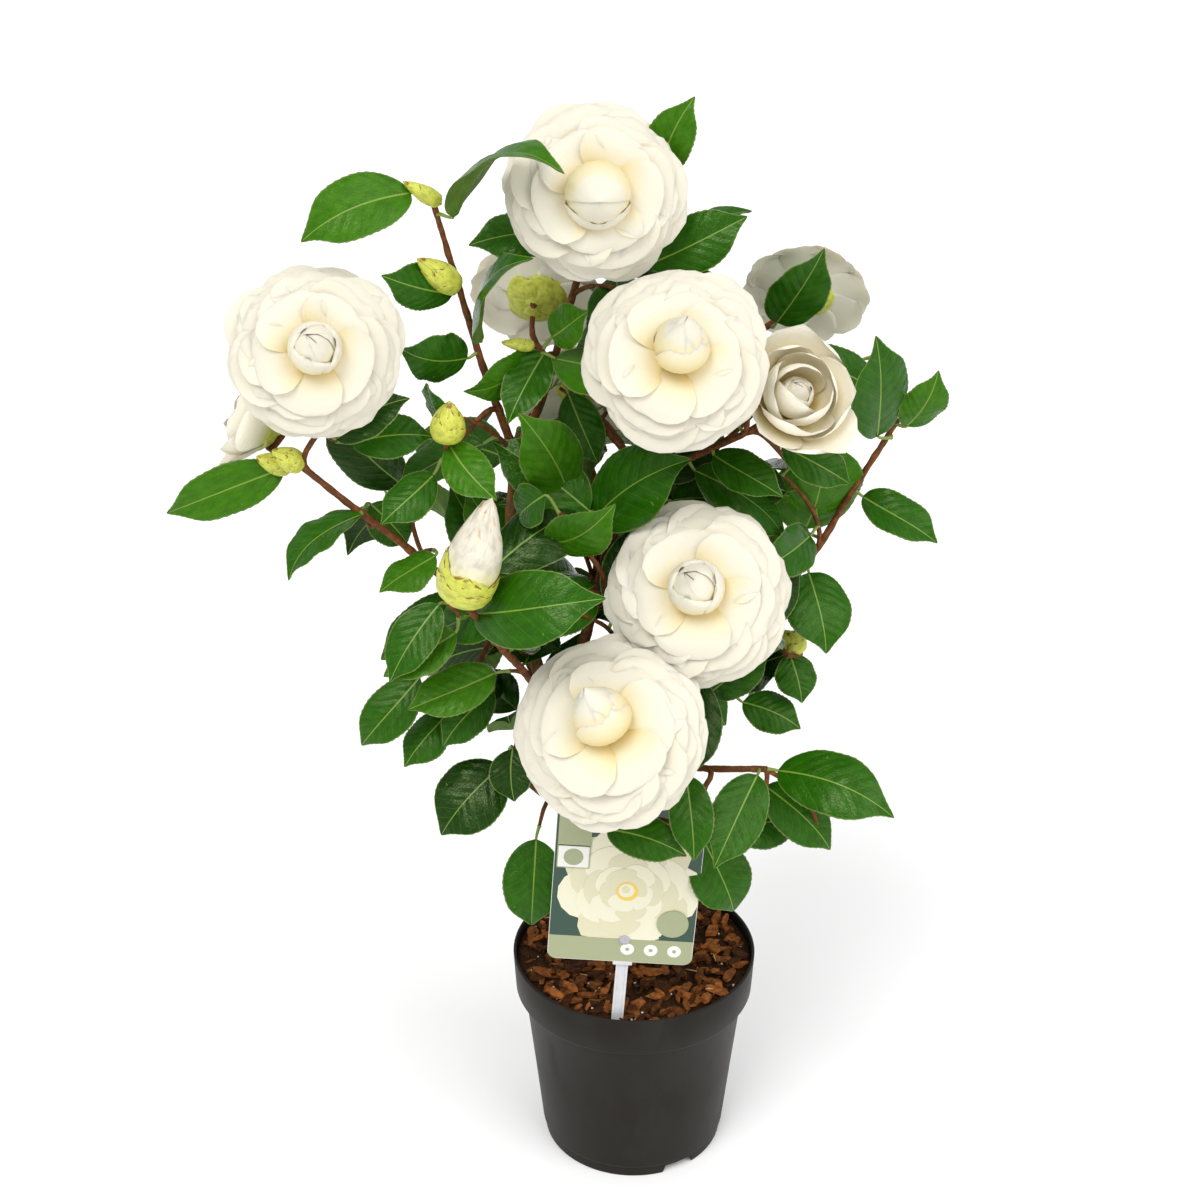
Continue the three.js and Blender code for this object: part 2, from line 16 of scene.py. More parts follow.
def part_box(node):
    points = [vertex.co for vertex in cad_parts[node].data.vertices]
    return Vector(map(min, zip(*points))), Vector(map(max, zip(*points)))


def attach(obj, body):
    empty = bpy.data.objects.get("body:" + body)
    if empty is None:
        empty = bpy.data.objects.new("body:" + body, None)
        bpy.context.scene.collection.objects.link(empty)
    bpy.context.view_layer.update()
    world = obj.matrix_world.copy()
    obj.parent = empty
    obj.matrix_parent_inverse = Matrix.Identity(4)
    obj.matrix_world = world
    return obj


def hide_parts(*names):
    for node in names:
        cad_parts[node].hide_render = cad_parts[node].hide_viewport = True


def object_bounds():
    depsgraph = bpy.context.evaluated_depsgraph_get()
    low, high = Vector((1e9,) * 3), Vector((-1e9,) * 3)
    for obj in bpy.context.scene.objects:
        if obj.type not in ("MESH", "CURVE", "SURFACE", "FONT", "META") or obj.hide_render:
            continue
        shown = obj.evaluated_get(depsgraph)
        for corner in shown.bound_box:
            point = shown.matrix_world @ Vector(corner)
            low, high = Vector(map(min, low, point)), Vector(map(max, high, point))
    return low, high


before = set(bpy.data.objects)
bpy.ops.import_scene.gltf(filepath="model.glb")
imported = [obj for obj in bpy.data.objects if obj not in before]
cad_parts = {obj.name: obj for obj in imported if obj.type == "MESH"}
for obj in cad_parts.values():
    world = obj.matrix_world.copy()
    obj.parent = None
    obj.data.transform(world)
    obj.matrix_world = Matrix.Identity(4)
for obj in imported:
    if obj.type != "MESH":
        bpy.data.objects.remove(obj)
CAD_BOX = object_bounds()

bl_info = {
    "name": "Potted Camellia",
    "version": (1, 0, 0),
    "blender": (4, 5, 0),
    "location": "View3D > Sidebar > Camellia",
    "description": "Builds a white camellia shrub in a nursery pot",
    "category": "Object",
}

BODY = "root"
MM = 0.001
GOLDEN_ANGLE = math.radians(137.5)
FULL_TURN = 6.28  # for directions drawn at random
UP = np.array([0.0, 0.0, 1.0])
UV_MAP = "OFBake"
CELL_MARGIN = 0.03


# ---------------------------------------------------------------- the plant, in millimetres
# Each limb: parent, where it leaves it (share of its length), points, root and tip radius.
LIMBS = {
    "stem": (None, 0, [(-3, 0, 127), (-12, -6, 180), (-30, -20, 245), (-45, -34, 304)], 6, 5),
    "leader": ("stem", 1, [(-60, -30, 365), (-69, -25, 424), (-66, -20, 472)], 4.6, 3.8),
    "bough_centre": ("stem", 1, [(-24, -22, 385), (-4, -10, 466)], 4, 3),
    "bough_right": (
        "stem", 1, [(36, -10, 342), (93, -5, 399), (117, 0, 440), (140, 5, 480)], 3.6, 1.8),
    "bough_left_low": ("stem", 1, [(-58, -60, 355), (-73, -90, 393), (-88, -108, 425)], 3, 2),
    "bough_front": ("stem", 0.94, [(-36, -66, 325), (-18, -100, 350)], 3.2, 2.4),
    "bough_low_right": ("stem", 0.86, [(10, -42, 292), (40, -55, 297), (72, -62, 301)], 3, 2),
    "bough_low_left": ("stem", 0.72, [(-50, -30, 262), (-72, -42, 290)], 2.6, 1.8),
    "bough_left": (
        "leader", 0.3, [(-92, -40, 395), (-123, -50, 431), (-152, -55, 459), (-172, -60, 480)],
        3.2, 2),
    "bough_top_left": ("leader", 1, [(-80, -25, 517), (-92, -30, 565), (-104, -35, 614)], 2.8, 1.6),
    "bough_top": ("leader", 1, [(-52, -6, 500), (-38, 6, 545), (-26, -8, 590)], 3, 2),
    "bough_cross": ("bough_centre", 1, [(-20, -5, 484), (-36, 4, 500), (-56, 22, 521)], 2.4, 1.8),
    "bough_upper": ("bough_centre", 1, [(12, 8, 490), (48, 20, 515), (80, 28, 535)], 2.8, 2),
    "bough_upper_front": ("bough_centre", 0.96, [(4, -32, 490), (14, -58, 530)], 2.6, 2),
    "bough_right_mid": (
        "bough_centre", 0.9, [(34, -20, 474), (60, -35, 494), (76, -45, 512)], 2.4, 1.8),
    "shoot_centre": (
        "bough_centre", 0.42, [(-18, -46, 408), (-28, -58, 434), (-38, -66, 456)], 2, 1.5),
    "bough_front_right": ("bough_centre", 0.3, [(0, -50, 385), (22, -72, 410)], 2.8, 2.2),
    "bough_back_left": ("leader", 0.12, [(-78, 10, 372), (-102, 48, 408)], 2.8, 1.8),
    "bough_back": ("bough_centre", 0.5, [(-22, 18, 420), (-30, 66, 452)], 2.8, 1.8),
    "bough_back_right": ("bough_right", 0.22, [(16, 22, 350), (48, 66, 388)], 2.6, 1.8),
}


def leaf(foot, tip, roll=0.0, arch=None, width=None):
    """One leaf that has its own place: where its blade starts and ends, how far it is
    turned about its length, how high it arches and how wide it is."""
    return {"foot": foot, "tip": tip, "roll": roll, "arch": arch, "width": width}


# Each mass of foliage: the middle of its twigs, and the leaves that shape its outline.
SPRAYS = {
    "mass_bloom_top": ((-18, -18, 612), [
        leaf((10, -12, 624), (26, -20, 665)), leaf((-40, -16, 596), (-88, -24, 590))]),
    "mass_bloom_left": ((-156, -60, 516), [
        leaf((-156, -64, 500), (-118, -58, 520)), leaf((-150, -50, 492), (-108, -46, 494))]),
    "mass_bloom_upper_centre": ((16, -70, 546), []),
    "mass_cup_right": ((78, -46, 514), []),
    "mass_bloom_right": ((28, -74, 416), []),
    "mass_bloom_front": ((-16, -104, 352), []),
    "mass_bloom_upper_right": ((86, 34, 540), [leaf((74, 12, 536), (95, -10, 584), roll=12)]),
    "mass_bloom_top_back": ((-58, 34, 536), [leaf((-48, 46, 556), (-22, 70, 590))]),
    "mass_bloom_far_left": ((-198, -28, 480), [
        leaf((-187, -46, 476), (-251, -46, 450), roll=-28, width=27)]),
    "mass_half_open_bud": ((-84, -108, 426), [
        leaf((-86, -100, 418), (-18, -122, 438), arch=0.17, width=40)]),
    "mass_tip_left": ((-104, -37, 618), [
        leaf((-115, -40, 622), (-168, -60, 603), roll=-10),
        leaf((-94, -42, 610), (-38, -74, 641), roll=-62, arch=0.24, width=34)]),
    "mass_shoot_left": ((-89, -32, 554), [
        leaf((-96, -36, 568), (-130, -54, 584), roll=-30),
        leaf((-90, -32, 532), (-124, -46, 543), roll=-50, arch=0.16, width=32),
        leaf((-82, -34, 542), (-54, -58, 594), roll=-58, arch=0.2, width=34)]),
    "mass_shoulder": ((14, 2, 574), [
        leaf((4, -18, 578), (54, -20, 604)), leaf((18, 16, 572), (60, 30, 592)),
        leaf((0, 20, 568), (10, 54, 598))]),
    "mass_centre_left": ((-103, -52, 484), [
        leaf((-108, -52, 475), (-135, -69, 454)), leaf((-99, -53, 492), (-74, -76, 471)),
        leaf((-102, -48, 500), (-110, -52, 526), roll=-50, width=22)]),
    "mass_left_middle": ((-142, -50, 444), [
        leaf((-144, -34, 450), (-126, -28, 424)), leaf((-146, -58, 455), (-184, -76, 425), roll=35)]),
    "mass_centre_high": ((-52, -20, 528), [
        leaf((-56, -14, 531), (-92, -38, 516), roll=-68, arch=0.16, width=26),
        leaf((-50, -20, 531), (-69, -46, 501)),
        leaf((-46, -22, 540), (-27, -30, 557))]),
    "mass_centre": ((-36, -12, 460), [
        leaf((-38, -31, 455), (-63, -55, 511)), leaf((-38, -8, 503), (-22, -12, 464))]),
    "mass_centre_right": ((6, -24, 450), [
        leaf((-24, -38, 443), (26, -64, 489), width=42), leaf((12, -10, 454), (46, 6, 468)),
        leaf((18, -12, 442), (50, -22, 446))]),
    "mass_centre_front": ((-42, -60, 456), [
        leaf((-46, -53, 436), (-13, -80, 471), roll=40, arch=0.14, width=30),
        leaf((-50, -58, 466), (-64, -46, 448))]),
    "mass_right_middle": ((84, -24, 466), [
        leaf((40, -24, 474), (76, -45, 459)), leaf((76, -24, 480), (113, -31, 460)),
        leaf((94, 5, 417), (98, 3, 478), width=50)]),
    "mass_right_tip": ((138, 1, 474), [
        leaf((130, -2, 476), (123, -20, 540)), leaf((146, 2, 480), (159, -10, 517)),
        leaf((124, -2, 440), (164, -20, 420))]),
    "mass_left_low": ((-102, -68, 408), [
        leaf((-108, -60, 432), (-137, -74, 417), roll=20), leaf((-106, -74, 410), (-132, -92, 373)),
        leaf((-98, -72, 392), (-136, -84, 372))]),
    "mass_left_lower": ((-94, -54, 350), [
        leaf((-78, -62, 362), (-125, -76, 347)), leaf((-120, -52, 354), (-153, -60, 315)),
        leaf((-106, -44, 326), (-130, -60, 301)), leaf((-80, -50, 344), (-108, -60, 314))]),
    "mass_low_left": ((-68, -44, 278), [
        leaf((-77, -43, 291), (-111, -60, 256), width=40), leaf((-70, -49, 306), (-69, -61, 279)),
        leaf((-58, -40, 240), (-61, -52, 188), width=36)]),
    "mass_left_heart": ((-70, -4, 388), [
        leaf((-74, -4, 406), (-96, 8, 440)), leaf((-50, -4, 384), (-22, 2, 362)),
        leaf((-72, -4, 372), (-92, 4, 340))]),
    "mass_right_heart": ((30, -34, 356), [
        leaf((40, -42, 338), (73, -50, 373)), leaf((26, -34, 336), (50, -36, 314)),
        leaf((10, -30, 372), (-8, -34, 350))]),
    "mass_right_low": ((84, -30, 354), [
        leaf((95, -14, 399), (104, -40, 362), width=38), leaf((86, -18, 350), (93, -30, 325)),
        leaf((60, -24, 322), (93, -30, 308)), leaf((70, -24, 408), (94, -24, 386))]),
    "mass_low_right": ((72, -62, 288), [
        leaf((78, -62, 300), (140, -90, 287), arch=0.14), leaf((66, -70, 302), (41, -108, 266)),
        leaf((72, -56, 286), (110, -60, 246)), leaf((38, -60, 252), (56, -62, 205), width=36)]),
    "mass_low_front": ((22, -94, 288), [
        leaf((26, -84, 310), (30, -110, 272)), leaf((-17, -94, 282), (26, -108, 274))]),
    "mass_back_left": ((-104, 46, 414), [
        leaf((-104, 34, 408), (-134, 34, 438)), leaf((-108, 50, 408), (-126, 82, 390)),
        leaf((-98, 58, 428), (-84, 90, 454))]),
    "mass_back_middle": ((-30, 72, 462), [
        leaf((-20, 70, 464), (16, 92, 496)), leaf((-22, 68, 446), (4, 94, 428)),
        leaf((-44, 68, 450), (-72, 82, 438))]),
    "mass_back_right": ((50, 68, 392), [
        leaf((56, 66, 394), (84, 72, 416)), leaf((50, 76, 384), (62, 104, 368)),
        leaf((40, 70, 382), (8, 84, 364))]),
}

# Each bloom: middle, the way it faces, radius, how its middle is folded, how far open it
# is (1 is flat, 0 is a cup), and how far the middle leans and toward which side (degrees,
# 0 to the right and 90 up).
BLOOMS = [
    ((-22, -52, 627), (0.05, -0.93, 0.33), 48, "folded", 1.0, 14, 270),
    ((-163, -84, 554), (0.05, -0.93, 0.30), 47, "rolled", 1.0, 16, 60),
    ((17, -86, 553), (-0.03, -0.9, 0.42), 49, "cone", 1.0, 34, 75),
    ((83, -56, 524), (0.26, -0.76, 0.58), 31, "rolled", 0.0, 8, 90),
    ((29, -90, 425), (-0.08, -0.88, 0.47), 52, "rolled", 1.0, 14, 100),
    ((-18, -126, 365), (-0.12, -0.83, 0.55), 54, "cone", 1.0, 36, 115),
    ((94, 42, 552), (0.18, 0.88, 0.38), 35, "rolled", 0.8, 5, 0),
    ((-54, 46, 548), (0.12, 0.93, 0.30), 36, "cone", 0.7, 5, 0),
    ((-208, -24, 500), (-0.80, 0.12, 0.50), 29, "rolled", 0.3, 5, 0),
    ((-34, 92, 480), (-0.1, 0.85, 0.5), 42, "rolled", 1.0, 8, 90),
]

# Each bud: foot, tip, radius, kind.
BUDS = [
    ((-100, -56, 496), (-98, -58, 518), 8.4, "flower"),
    ((-94, -36, 572), (-112, -47, 590), 6.6, "flower"),
    ((-176, -58, 483), (-189, -65, 494), 5.8, "flower"),
    ((-184, -48, 477), (-199, -57, 487), 5.2, "flower"),
    ((92, -14, 350), (82, -15, 363), 6.5, "flower"),
    ((-101, -36, 616), (-118, -42, 628), 3.8, "shoot"),
    ((-56, -22, 535), (-72, -30, 540), 2.8, "shoot"),
    ((143, 5, 484), (146, 4, 496), 2.6, "shoot"),
    ((-91, -108, 433), (-75, -119, 489), 14.8, "opening"),
]


# ---------------------------------------------------------------- settings
def colour(label, text, value):
    return FloatVectorProperty(
        name=label, description=text, default=value, size=3, min=0, max=1, subtype="COLOR")


def length(label, text, millimetres):
    return FloatProperty(
        name=label, description=text, default=millimetres * MM, min=0, unit="LENGTH",
        subtype="DISTANCE", precision=4)


def angle(label, text, degrees):
    return FloatProperty(
        name=label, description=text, default=math.radians(degrees), unit="ROTATION",
        subtype="ANGLE")


def share(label, text, value):
    return FloatProperty(
        name=label, description=text, default=value, min=0, max=4, subtype="FACTOR")


class CamelliaPotSettings(bpy.types.PropertyGroup):
    height: length("Height", "Height of the pot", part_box("pot")[1].z / MM)
    rim_radius: length("Rim radius", "Radius of the mouth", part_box("pot")[1].x / MM)
    base_radius: length("Base radius", "Radius where the wall meets the foot ring", 57.5)
    wall: length("Wall", "Thickness of the wall", 1.8)
    band: length("Rim band", "Height of the thick band round the mouth", 25)
    notch_width: length("Notch width", "Width of each notch in the foot ring", 25)
    plastic: colour("Plastic", "Colour of the pot", (0.0130, 0.0105, 0.0075))


class CamelliaSoilSettings(bpy.types.PropertyGroup):
    level: length("Level", "Height of the soil's surface", 129)
    chip_length: length("Chip length", "Length of the longest bark chips", 19)
    chips: IntProperty(name="Chips", description="Number of bark chips", default=380, min=0)
    grains: IntProperty(
        name="Grains", description="Number of loose grains of perlite and peat", default=520, min=0)
    seed: IntProperty(name="Seed", description="Start of the random numbers", default=11)
    peat: colour("Peat", "Colour of the soil", (0.045, 0.019, 0.006))
    bark: colour("Bark chips", "Colour of the bark chips", (0.27, 0.088, 0.018))


class CamelliaLabelSettings(bpy.types.PropertyGroup):
    width: length("Width", "Width of the card", 84)
    height: length("Height", "Height of the card", 112)
    corner: length("Corner", "Radius of the card's corners", 5)
    lean: angle("Lean", "How far the card leans to the right", 4)
    sage: colour("Sage", "Colour of the printed band", (0.33, 0.36, 0.20))
    night: colour("Leaf green", "Colour behind the printed flower", (0.012, 0.055, 0.030))


class CamelliaWoodSettings(bpy.types.PropertyGroup):
    relief: length("Relief", "Height of the bark's ridges", 0.45)
    twig: length("Twig radius", "Radius of the twigs inside the sprays", 1.3)
    stalk: length("Stalk radius", "Radius of a leaf's stalk", 0.85)
    seed: IntProperty(name="Seed", description="Start of the random numbers", default=3)
    old: colour("Old bark", "Colour of the stem's bark", (0.22, 0.118, 0.030))
    young: colour("Young bark", "Colour of the shoots' bark", (0.115, 0.040, 0.010))


class CamelliaLeafSettings(bpy.types.PropertyGroup):
    longest: length("Longest", "Length of the longest leaves that the rule adds", 68)
    shortest: length("Shortest", "Length of the shortest leaves that the rule adds", 46)
    thickness: length("Thickness", "Thickness of a blade", 0.5)
    tooth: length("Tooth", "Height of the teeth along the edge", 0.45)
    slimness: share("Width", "Width of a leaf as a share of its length", 0.53)
    fold: angle("Fold", "How far each half of the blade is folded up", 17)
    extra: IntProperty(
        name="Extra leaves", description="Most leaves that the rule adds", default=130, min=0)
    seed: IntProperty(name="Seed", description="Start of the random numbers", default=7)
    # Deep green is partly the old leaves' own darker colour and partly painted shade for the leaves
    # inside the crown.
    deep: colour("Deep green", "Old leaves inside the crown", (0.007, 0.046, 0.0013))
    green: colour("Green", "Most leaves", (0.019, 0.108, 0.002))
    bright: colour("Bright green", "Leaves near the shoot tips", (0.042, 0.168, 0.003))
    fresh: colour("Fresh green", "The youngest leaves", (0.085, 0.250, 0.008))
    under: colour("Underside", "Underside of the leaves", (0.100, 0.190, 0.030))
    rib: colour("Rib", "Middle rib and edge", (0.200, 0.330, 0.030))


class CamelliaBloomSettings(bpy.types.PropertyGroup):
    fullness: share("Fullness", "Length of the petals as a share of the bloom's radius", 1.0)
    thickness: length("Thickness", "Thickness of a petal", 0.5)
    seed: IntProperty(name="Seed", description="Start of the random numbers", default=21)
    white: colour("White", "Outer part of a petal", (0.755, 0.705, 0.575))
    cream: colour("Cream", "Middle of a petal", (0.77, 0.695, 0.475))
    yellow: colour("Yellow", "Foot of a petal", (0.76, 0.56, 0.16))
    sepal: colour("Sepal", "Sepals and bud scales", (0.60, 0.63, 0.075))
    bruise: colour("Bruise", "Brown marks on sepals and buds", (0.24, 0.10, 0.012))


class CamelliaStageSettings(bpy.types.PropertyGroup):
    floor: colour("Floor", "Colour of the floor", (0.98, 0.98, 0.98))
    eye: FloatVectorProperty(
        name="Eye", description="Where the camera stands", size=3, subtype="XYZ", unit="LENGTH",
        default=(-0.021, -1.060, 0.915))
    tilt: angle("Tilt", "How far the camera looks down", 27)
    lens: FloatProperty(name="Lens", description="Focal length in millimetres", default=63, min=1)
    floor_radius: length("Floor radius", "Radius of the floor", 9000)
    key: FloatProperty(name="Key", description="Strength of the main light", default=1.45, min=0)
    sky: FloatProperty(name="Sky", description="Strength of the light all round", default=0.68, min=0)


# ---------------------------------------------------------------- vectors and paths
def unit(vector):
    vector = np.asarray(vector, float)
    return vector / max(np.linalg.norm(vector), 1e-9)


def square_to(vector, axis):
    """The part of a vector that is at right angles to an axis, with length 1."""
    axis = unit(axis)
    vector = np.asarray(vector, float)
    rest = vector - (vector @ axis) * axis
    if np.linalg.norm(rest) < 1e-6:
        rest = np.cross(axis, (1.0, 0.3, 0.2))
    return unit(rest)


def turned(vector, axis, radians):
    axis = unit(axis)
    return (vector * math.cos(radians) + np.cross(axis, vector) * math.sin(radians)
            + axis * (axis @ vector) * (1 - math.cos(radians)))


def smooth_path(points, per_span=24):
    """A centripetal Catmull-Rom curve through the points."""
    p = [np.array(q, float) for q in points]
    p = [2 * p[0] - p[1], *p, 2 * p[-1] - p[-2]]
    out = []
    for k in range(1, len(p) - 2):
        a, b, c, d = p[k - 1:k + 3]
        t0 = 0.0
        t1 = t0 + math.sqrt(np.linalg.norm(b - a))
        t2 = t1 + math.sqrt(np.linalg.norm(c - b))
        t3 = t2 + math.sqrt(np.linalg.norm(d - c))
        t = np.linspace(t1, t2, per_span, endpoint=False)[:, None]
        ab = ((t1 - t) * a + (t - t0) * b) / (t1 - t0)
        bc = ((t2 - t) * b + (t - t1) * c) / (t2 - t1)
        cd = ((t3 - t) * c + (t - t2) * d) / (t3 - t2)
        abc = ((t2 - t) * ab + (t - t0) * bc) / (t2 - t0)
        bcd = ((t3 - t) * bc + (t - t1) * cd) / (t3 - t1)
        out.append(((t2 - t) * abc + (t - t1) * bcd) / (t2 - t1))
    out.append(p[-2][None])
    return np.concatenate(out)


def lengths_along(path):
    return np.concatenate([[0], np.cumsum(np.linalg.norm(np.diff(path, axis=0), axis=1))])


def even_path(path, step):
    """The same path with its points a step apart."""
    at = lengths_along(path)
    places = np.linspace(0, at[-1], max(3, int(round(at[-1] / step)) + 1))
    return np.stack([np.interp(places, at, path[:, k]) for k in range(3)], axis=1)


def point_along(path, part):
    at = lengths_along(path)
    return np.array([np.interp(part * at[-1], at, path[:, k]) for k in range(3)])


def bend_path(start, start_way, end, end_way, steps=7):
    """A cubic curve between two points that leaves and arrives in the given directions."""
    reach = np.linalg.norm(np.subtract(end, start)) / 3
    a, d = np.array(start, float), np.array(end, float)
    b, c = a + unit(start_way) * reach, d - unit(end_way) * reach
    t = np.linspace(0, 1, steps)[:, None]
    return (1 - t) ** 3 * a + 3 * t * (1 - t) ** 2 * b + 3 * t ** 2 * (1 - t) * c + t ** 3 * d


def nearest_on(paths, point):
    """(distance, place, direction) of the nearest point of some paths."""
    best = None
    for path in paths:
        gaps = np.linalg.norm(path - point, axis=1)
        k = int(gaps.argmin())
        if best is None or gaps[k] < best[0]:
            ahead = path[min(k + 1, len(path) - 1)] - path[max(k - 1, 0)]
            best = (gaps[k], path[k], unit(ahead))
    return best


# ---------------------------------------------------------------- joined shapes
class Bunch:
    """Many closed shapes, gathered in millimetres and joined as one piece. Each material
    slot has its own cell of the piece's UV map, across by up."""

    def __init__(self, cells=None):
        self.cells = cells
        self.count = 0
        self.points, self.corners, self.sizes, self.slots, self.places = [], [], [], [], []
        self.ages = []

    def add(self, points, groups, places=None, age=0.0):
        """groups is a list of (faces, slot), with the faces of one group as rows of the
        same length. places is each point's place in its cell."""
        points = np.asarray(points, float).reshape(-1, 3)
        self.points.append(points)
        self.ages.append(np.broadcast_to(np.asarray(age, float), (len(points),)))
        for faces, slot in groups:
            faces = np.asarray(faces, int)
            if not len(faces):
                continue
            self.corners.append((faces + self.count).ravel())
            self.sizes.append(np.full(len(faces), faces.shape[1]))
            self.slots.append(np.full(len(faces), slot))
            if self.cells:
                across, up = self.cells
                cell = np.array([slot % across, slot // across])
                inner = CELL_MARGIN + (1 - 2 * CELL_MARGIN) * np.asarray(places)[faces.ravel()]
                self.places.append((cell + inner) / (across, up))
        self.count += len(points)

    def piece(self, name, materials, crease=50, smooth=True):
        mesh = bpy.data.meshes.new(name)
        sizes = np.concatenate(self.sizes)
        corners = np.concatenate(self.corners)
        points = np.concatenate(self.points) * MM
        mesh.vertices.add(len(points))
        mesh.vertices.foreach_set("co", points.astype(np.float32).ravel())
        mesh.loops.add(len(corners))
        mesh.loops.foreach_set("vertex_index", corners.astype(np.int32))
        mesh.polygons.add(len(sizes))
        starts = np.concatenate([[0], np.cumsum(sizes)[:-1]])
        mesh.polygons.foreach_set("loop_start", starts.astype(np.int32))
        mesh.polygons.foreach_set("material_index", np.concatenate(self.slots).astype(np.int32))
        if self.cells:
            layer = mesh.uv_layers.new(name=UV_MAP)
            layer.data.foreach_set("uv", np.concatenate(self.places).astype(np.float32).ravel())
        ages = mesh.attributes.new("age", "FLOAT", "POINT")
        ages.data.foreach_set("value", np.concatenate(self.ages).astype(np.float32))
        mesh.update(calc_edges=True)
        if smooth:
            mesh.shade_smooth()
            mesh.set_sharp_from_angle(angle=math.radians(crease))
        else:
            mesh.shade_flat()
        for material in materials:
            mesh.materials.append(material)
        piece = bpy.data.objects.new(name, mesh)
        bpy.context.scene.collection.objects.link(piece)
        return piece


def tube(bunch, path, radii, sides, slot=0, age=0.0, relief=None):
    """A closed tube along a path. relief(turn, along) adds to its radius."""
    path = np.asarray(path, float)
    ways = np.gradient(path, axis=0)
    side = square_to(UP + (0.3, 0.2, 0.0), ways[0])
    rings = []
    turns = np.arange(sides) * 2 * math.pi / sides
    radii = np.broadcast_to(np.asarray(radii, float), (len(path),))
    along = lengths_along(path)
    for k, way in enumerate(ways):
        side = square_to(side, way)
        other = np.cross(unit(way), side)
        reach = radii[k] + (relief(turns, along[k]) if relief else 0)
        reach = np.broadcast_to(reach, turns.shape)[:, None]
        rings.append(path[k] + reach * (np.cos(turns)[:, None] * side
                                        + np.sin(turns)[:, None] * other))
    first = np.arange(sides)
    after = np.roll(first, -1)
    walls = np.concatenate([
        np.stack([first, after, after + sides, first + sides], axis=1) + k * sides
        for k in range(len(path) - 1)])
    ends = [first[::-1], first + (len(path) - 1) * sides]
    ages = np.repeat(np.broadcast_to(np.asarray(age, float), (len(path),)), sides)
    bunch.add(np.concatenate(rings), [(walls, slot), (ends, slot)], age=ages)


def closed_sheet(bunch, grid, depth, groups, under_slot, places, teeth=None):
    """A thin closed sheet. grid holds its upper side, row by row, and depth how thick it
    is at each point; the edge is shared by both sides. groups gives the slot of each strip
    between two columns, and teeth the points added along the first and last columns."""
    rows, columns = grid.shape[:2]
    normal = np.cross(np.gradient(grid, axis=0), np.gradient(grid, axis=1))
    normal /= np.maximum(np.linalg.norm(normal, axis=2, keepdims=True), 1e-9)
    under = grid - normal * depth[..., None]
    inside = np.zeros((rows, columns), bool)
    inside[1:-1, 1:-1] = True
    upper = np.arange(rows * columns).reshape(rows, columns)
    lower = upper.copy()
    lower[inside] = rows * columns + np.arange(inside.sum())
    points = [grid.reshape(-1, 3), under[inside]]
    marks = [places.reshape(-1, 2), places[inside]]
    sides = []
    if teeth is not None:
        start = rows * columns + inside.sum()
        for side in (0, 1):
            sides.append(start + np.arange(rows - 1))
            points.append(teeth[side])
            edge = places[:, 0 if side == 0 else -1]
            marks.append((edge[1:] + edge[:-1]) / 2)
            start += rows - 1
    made = []
    for j in range(columns - 1):
        for index, slot, flip in ((upper, groups[j], False), (lower, under_slot, True)):
            a, b = index[:-1, j], index[1:, j]
            c, d = index[1:, j + 1], index[:-1, j + 1]
            ring = [a, b, c, d]
            if teeth is not None and j == 0:
                ring = [a, sides[0], b, c, d]
            if teeth is not None and j == columns - 2:
                ring = [a, b, c, sides[1], d]
            made.append((np.stack(ring[::-1] if flip else ring, axis=1), slot))
    bunch.add(np.concatenate(points), made, np.concatenate(marks))


# ---------------------------------------------------------------- how the plant grows
def limb_paths():
    paths = {}
    for name, (parent, at, via, _root, _tip) in LIMBS.items():
        start = [point_along(paths[parent], at)] if parent else []
        paths[name] = even_path(smooth_path([*start, *via]), 2.4)
    return paths


def bloom_seat(middle, faces, radius, opened=1.0):
    return np.array(middle, float) - unit(faces) * (5 + (0.12 + 0.3 * (1 - opened)) * radius)


def calyx_size(radius):
    return 0.27 * radius + 3


# Where the rule keeps off: in front of the label, and round the long shoot at the upper left.
LABEL_MIDDLE, LABEL_HALF, LABEL_FRONT, LABEL_TOP = -4, 52, -52, 292
SHOOT_RIGHT, SHOOT_BACK, SHOOT_FOOT = -48, 30, 508
# Spacing of the leaves that the rule adds, and the lowest node that bears one.
NODE_GAP, NODE_STALK, LEAF_GAP, LOWEST_NODE = 9.5, 9, 17, 235


class Crown:
    """Says where the rule may put a leaf: where foliage stands in front of it, seen from
    the front, so that the gaps in the crown stay open and no bloom is covered."""

    def __init__(self, eye):
        self.eye = np.array(eye) / MM
        corners, faces = [], []
        for name in SPRAYS:
            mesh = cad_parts[name].data
            faces += [[v + len(corners) for v in face.vertices] for face in mesh.polygons]
            corners += [v.co / MM for v in mesh.vertices]
        self.tree = BVHTree.FromPolygons(corners, faces)
        self.low, self.high = (np.array(corner) / MM for corner in CAD_BOX)

    def covered(self, point):
        way = self.eye - point
        return self.tree.ray_cast(Vector(point), Vector(way))[0] is not None

    def hides_bloom(self, point):
        """The last bloom is on the far side, where leaves do stand before it."""
        far = np.linalg.norm(point - self.eye)
        way = (point - self.eye) / far
        for middle, _faces, radius, *_look in BLOOMS[:-1]:
            to_bloom = np.array(middle) - self.eye
            along = to_bloom @ way
            if far < along + 30 and np.linalg.norm(to_bloom - along * way) < radius * 1.02:
                return True
        return False

    def in_bloom(self, point):
        for middle, faces, radius, *_look in BLOOMS:
            gap = point - np.array(middle)
            high = gap @ unit(faces)
            if -22 < high < 30 and np.linalg.norm(gap - high * unit(faces)) < radius:
                return True
        return False

    def near_label(self, point):
        aside = abs(point[0] - LABEL_MIDDLE)
        return aside < LABEL_HALF and point[1] < LABEL_FRONT and point[2] < LABEL_TOP

    def allows(self, point):
        """The long shoot at the upper left stays bare."""
        inside = (point > self.low + 3).all() and (point < self.high - 3).all()
        bare = point[0] < SHOOT_RIGHT and point[1] < SHOOT_BACK and point[2] > SHOOT_FOOT
        return inside and not bare and not self.near_label(point) and self.covered(point) \
            and not self.hides_bloom(point) and not self.in_bloom(point)


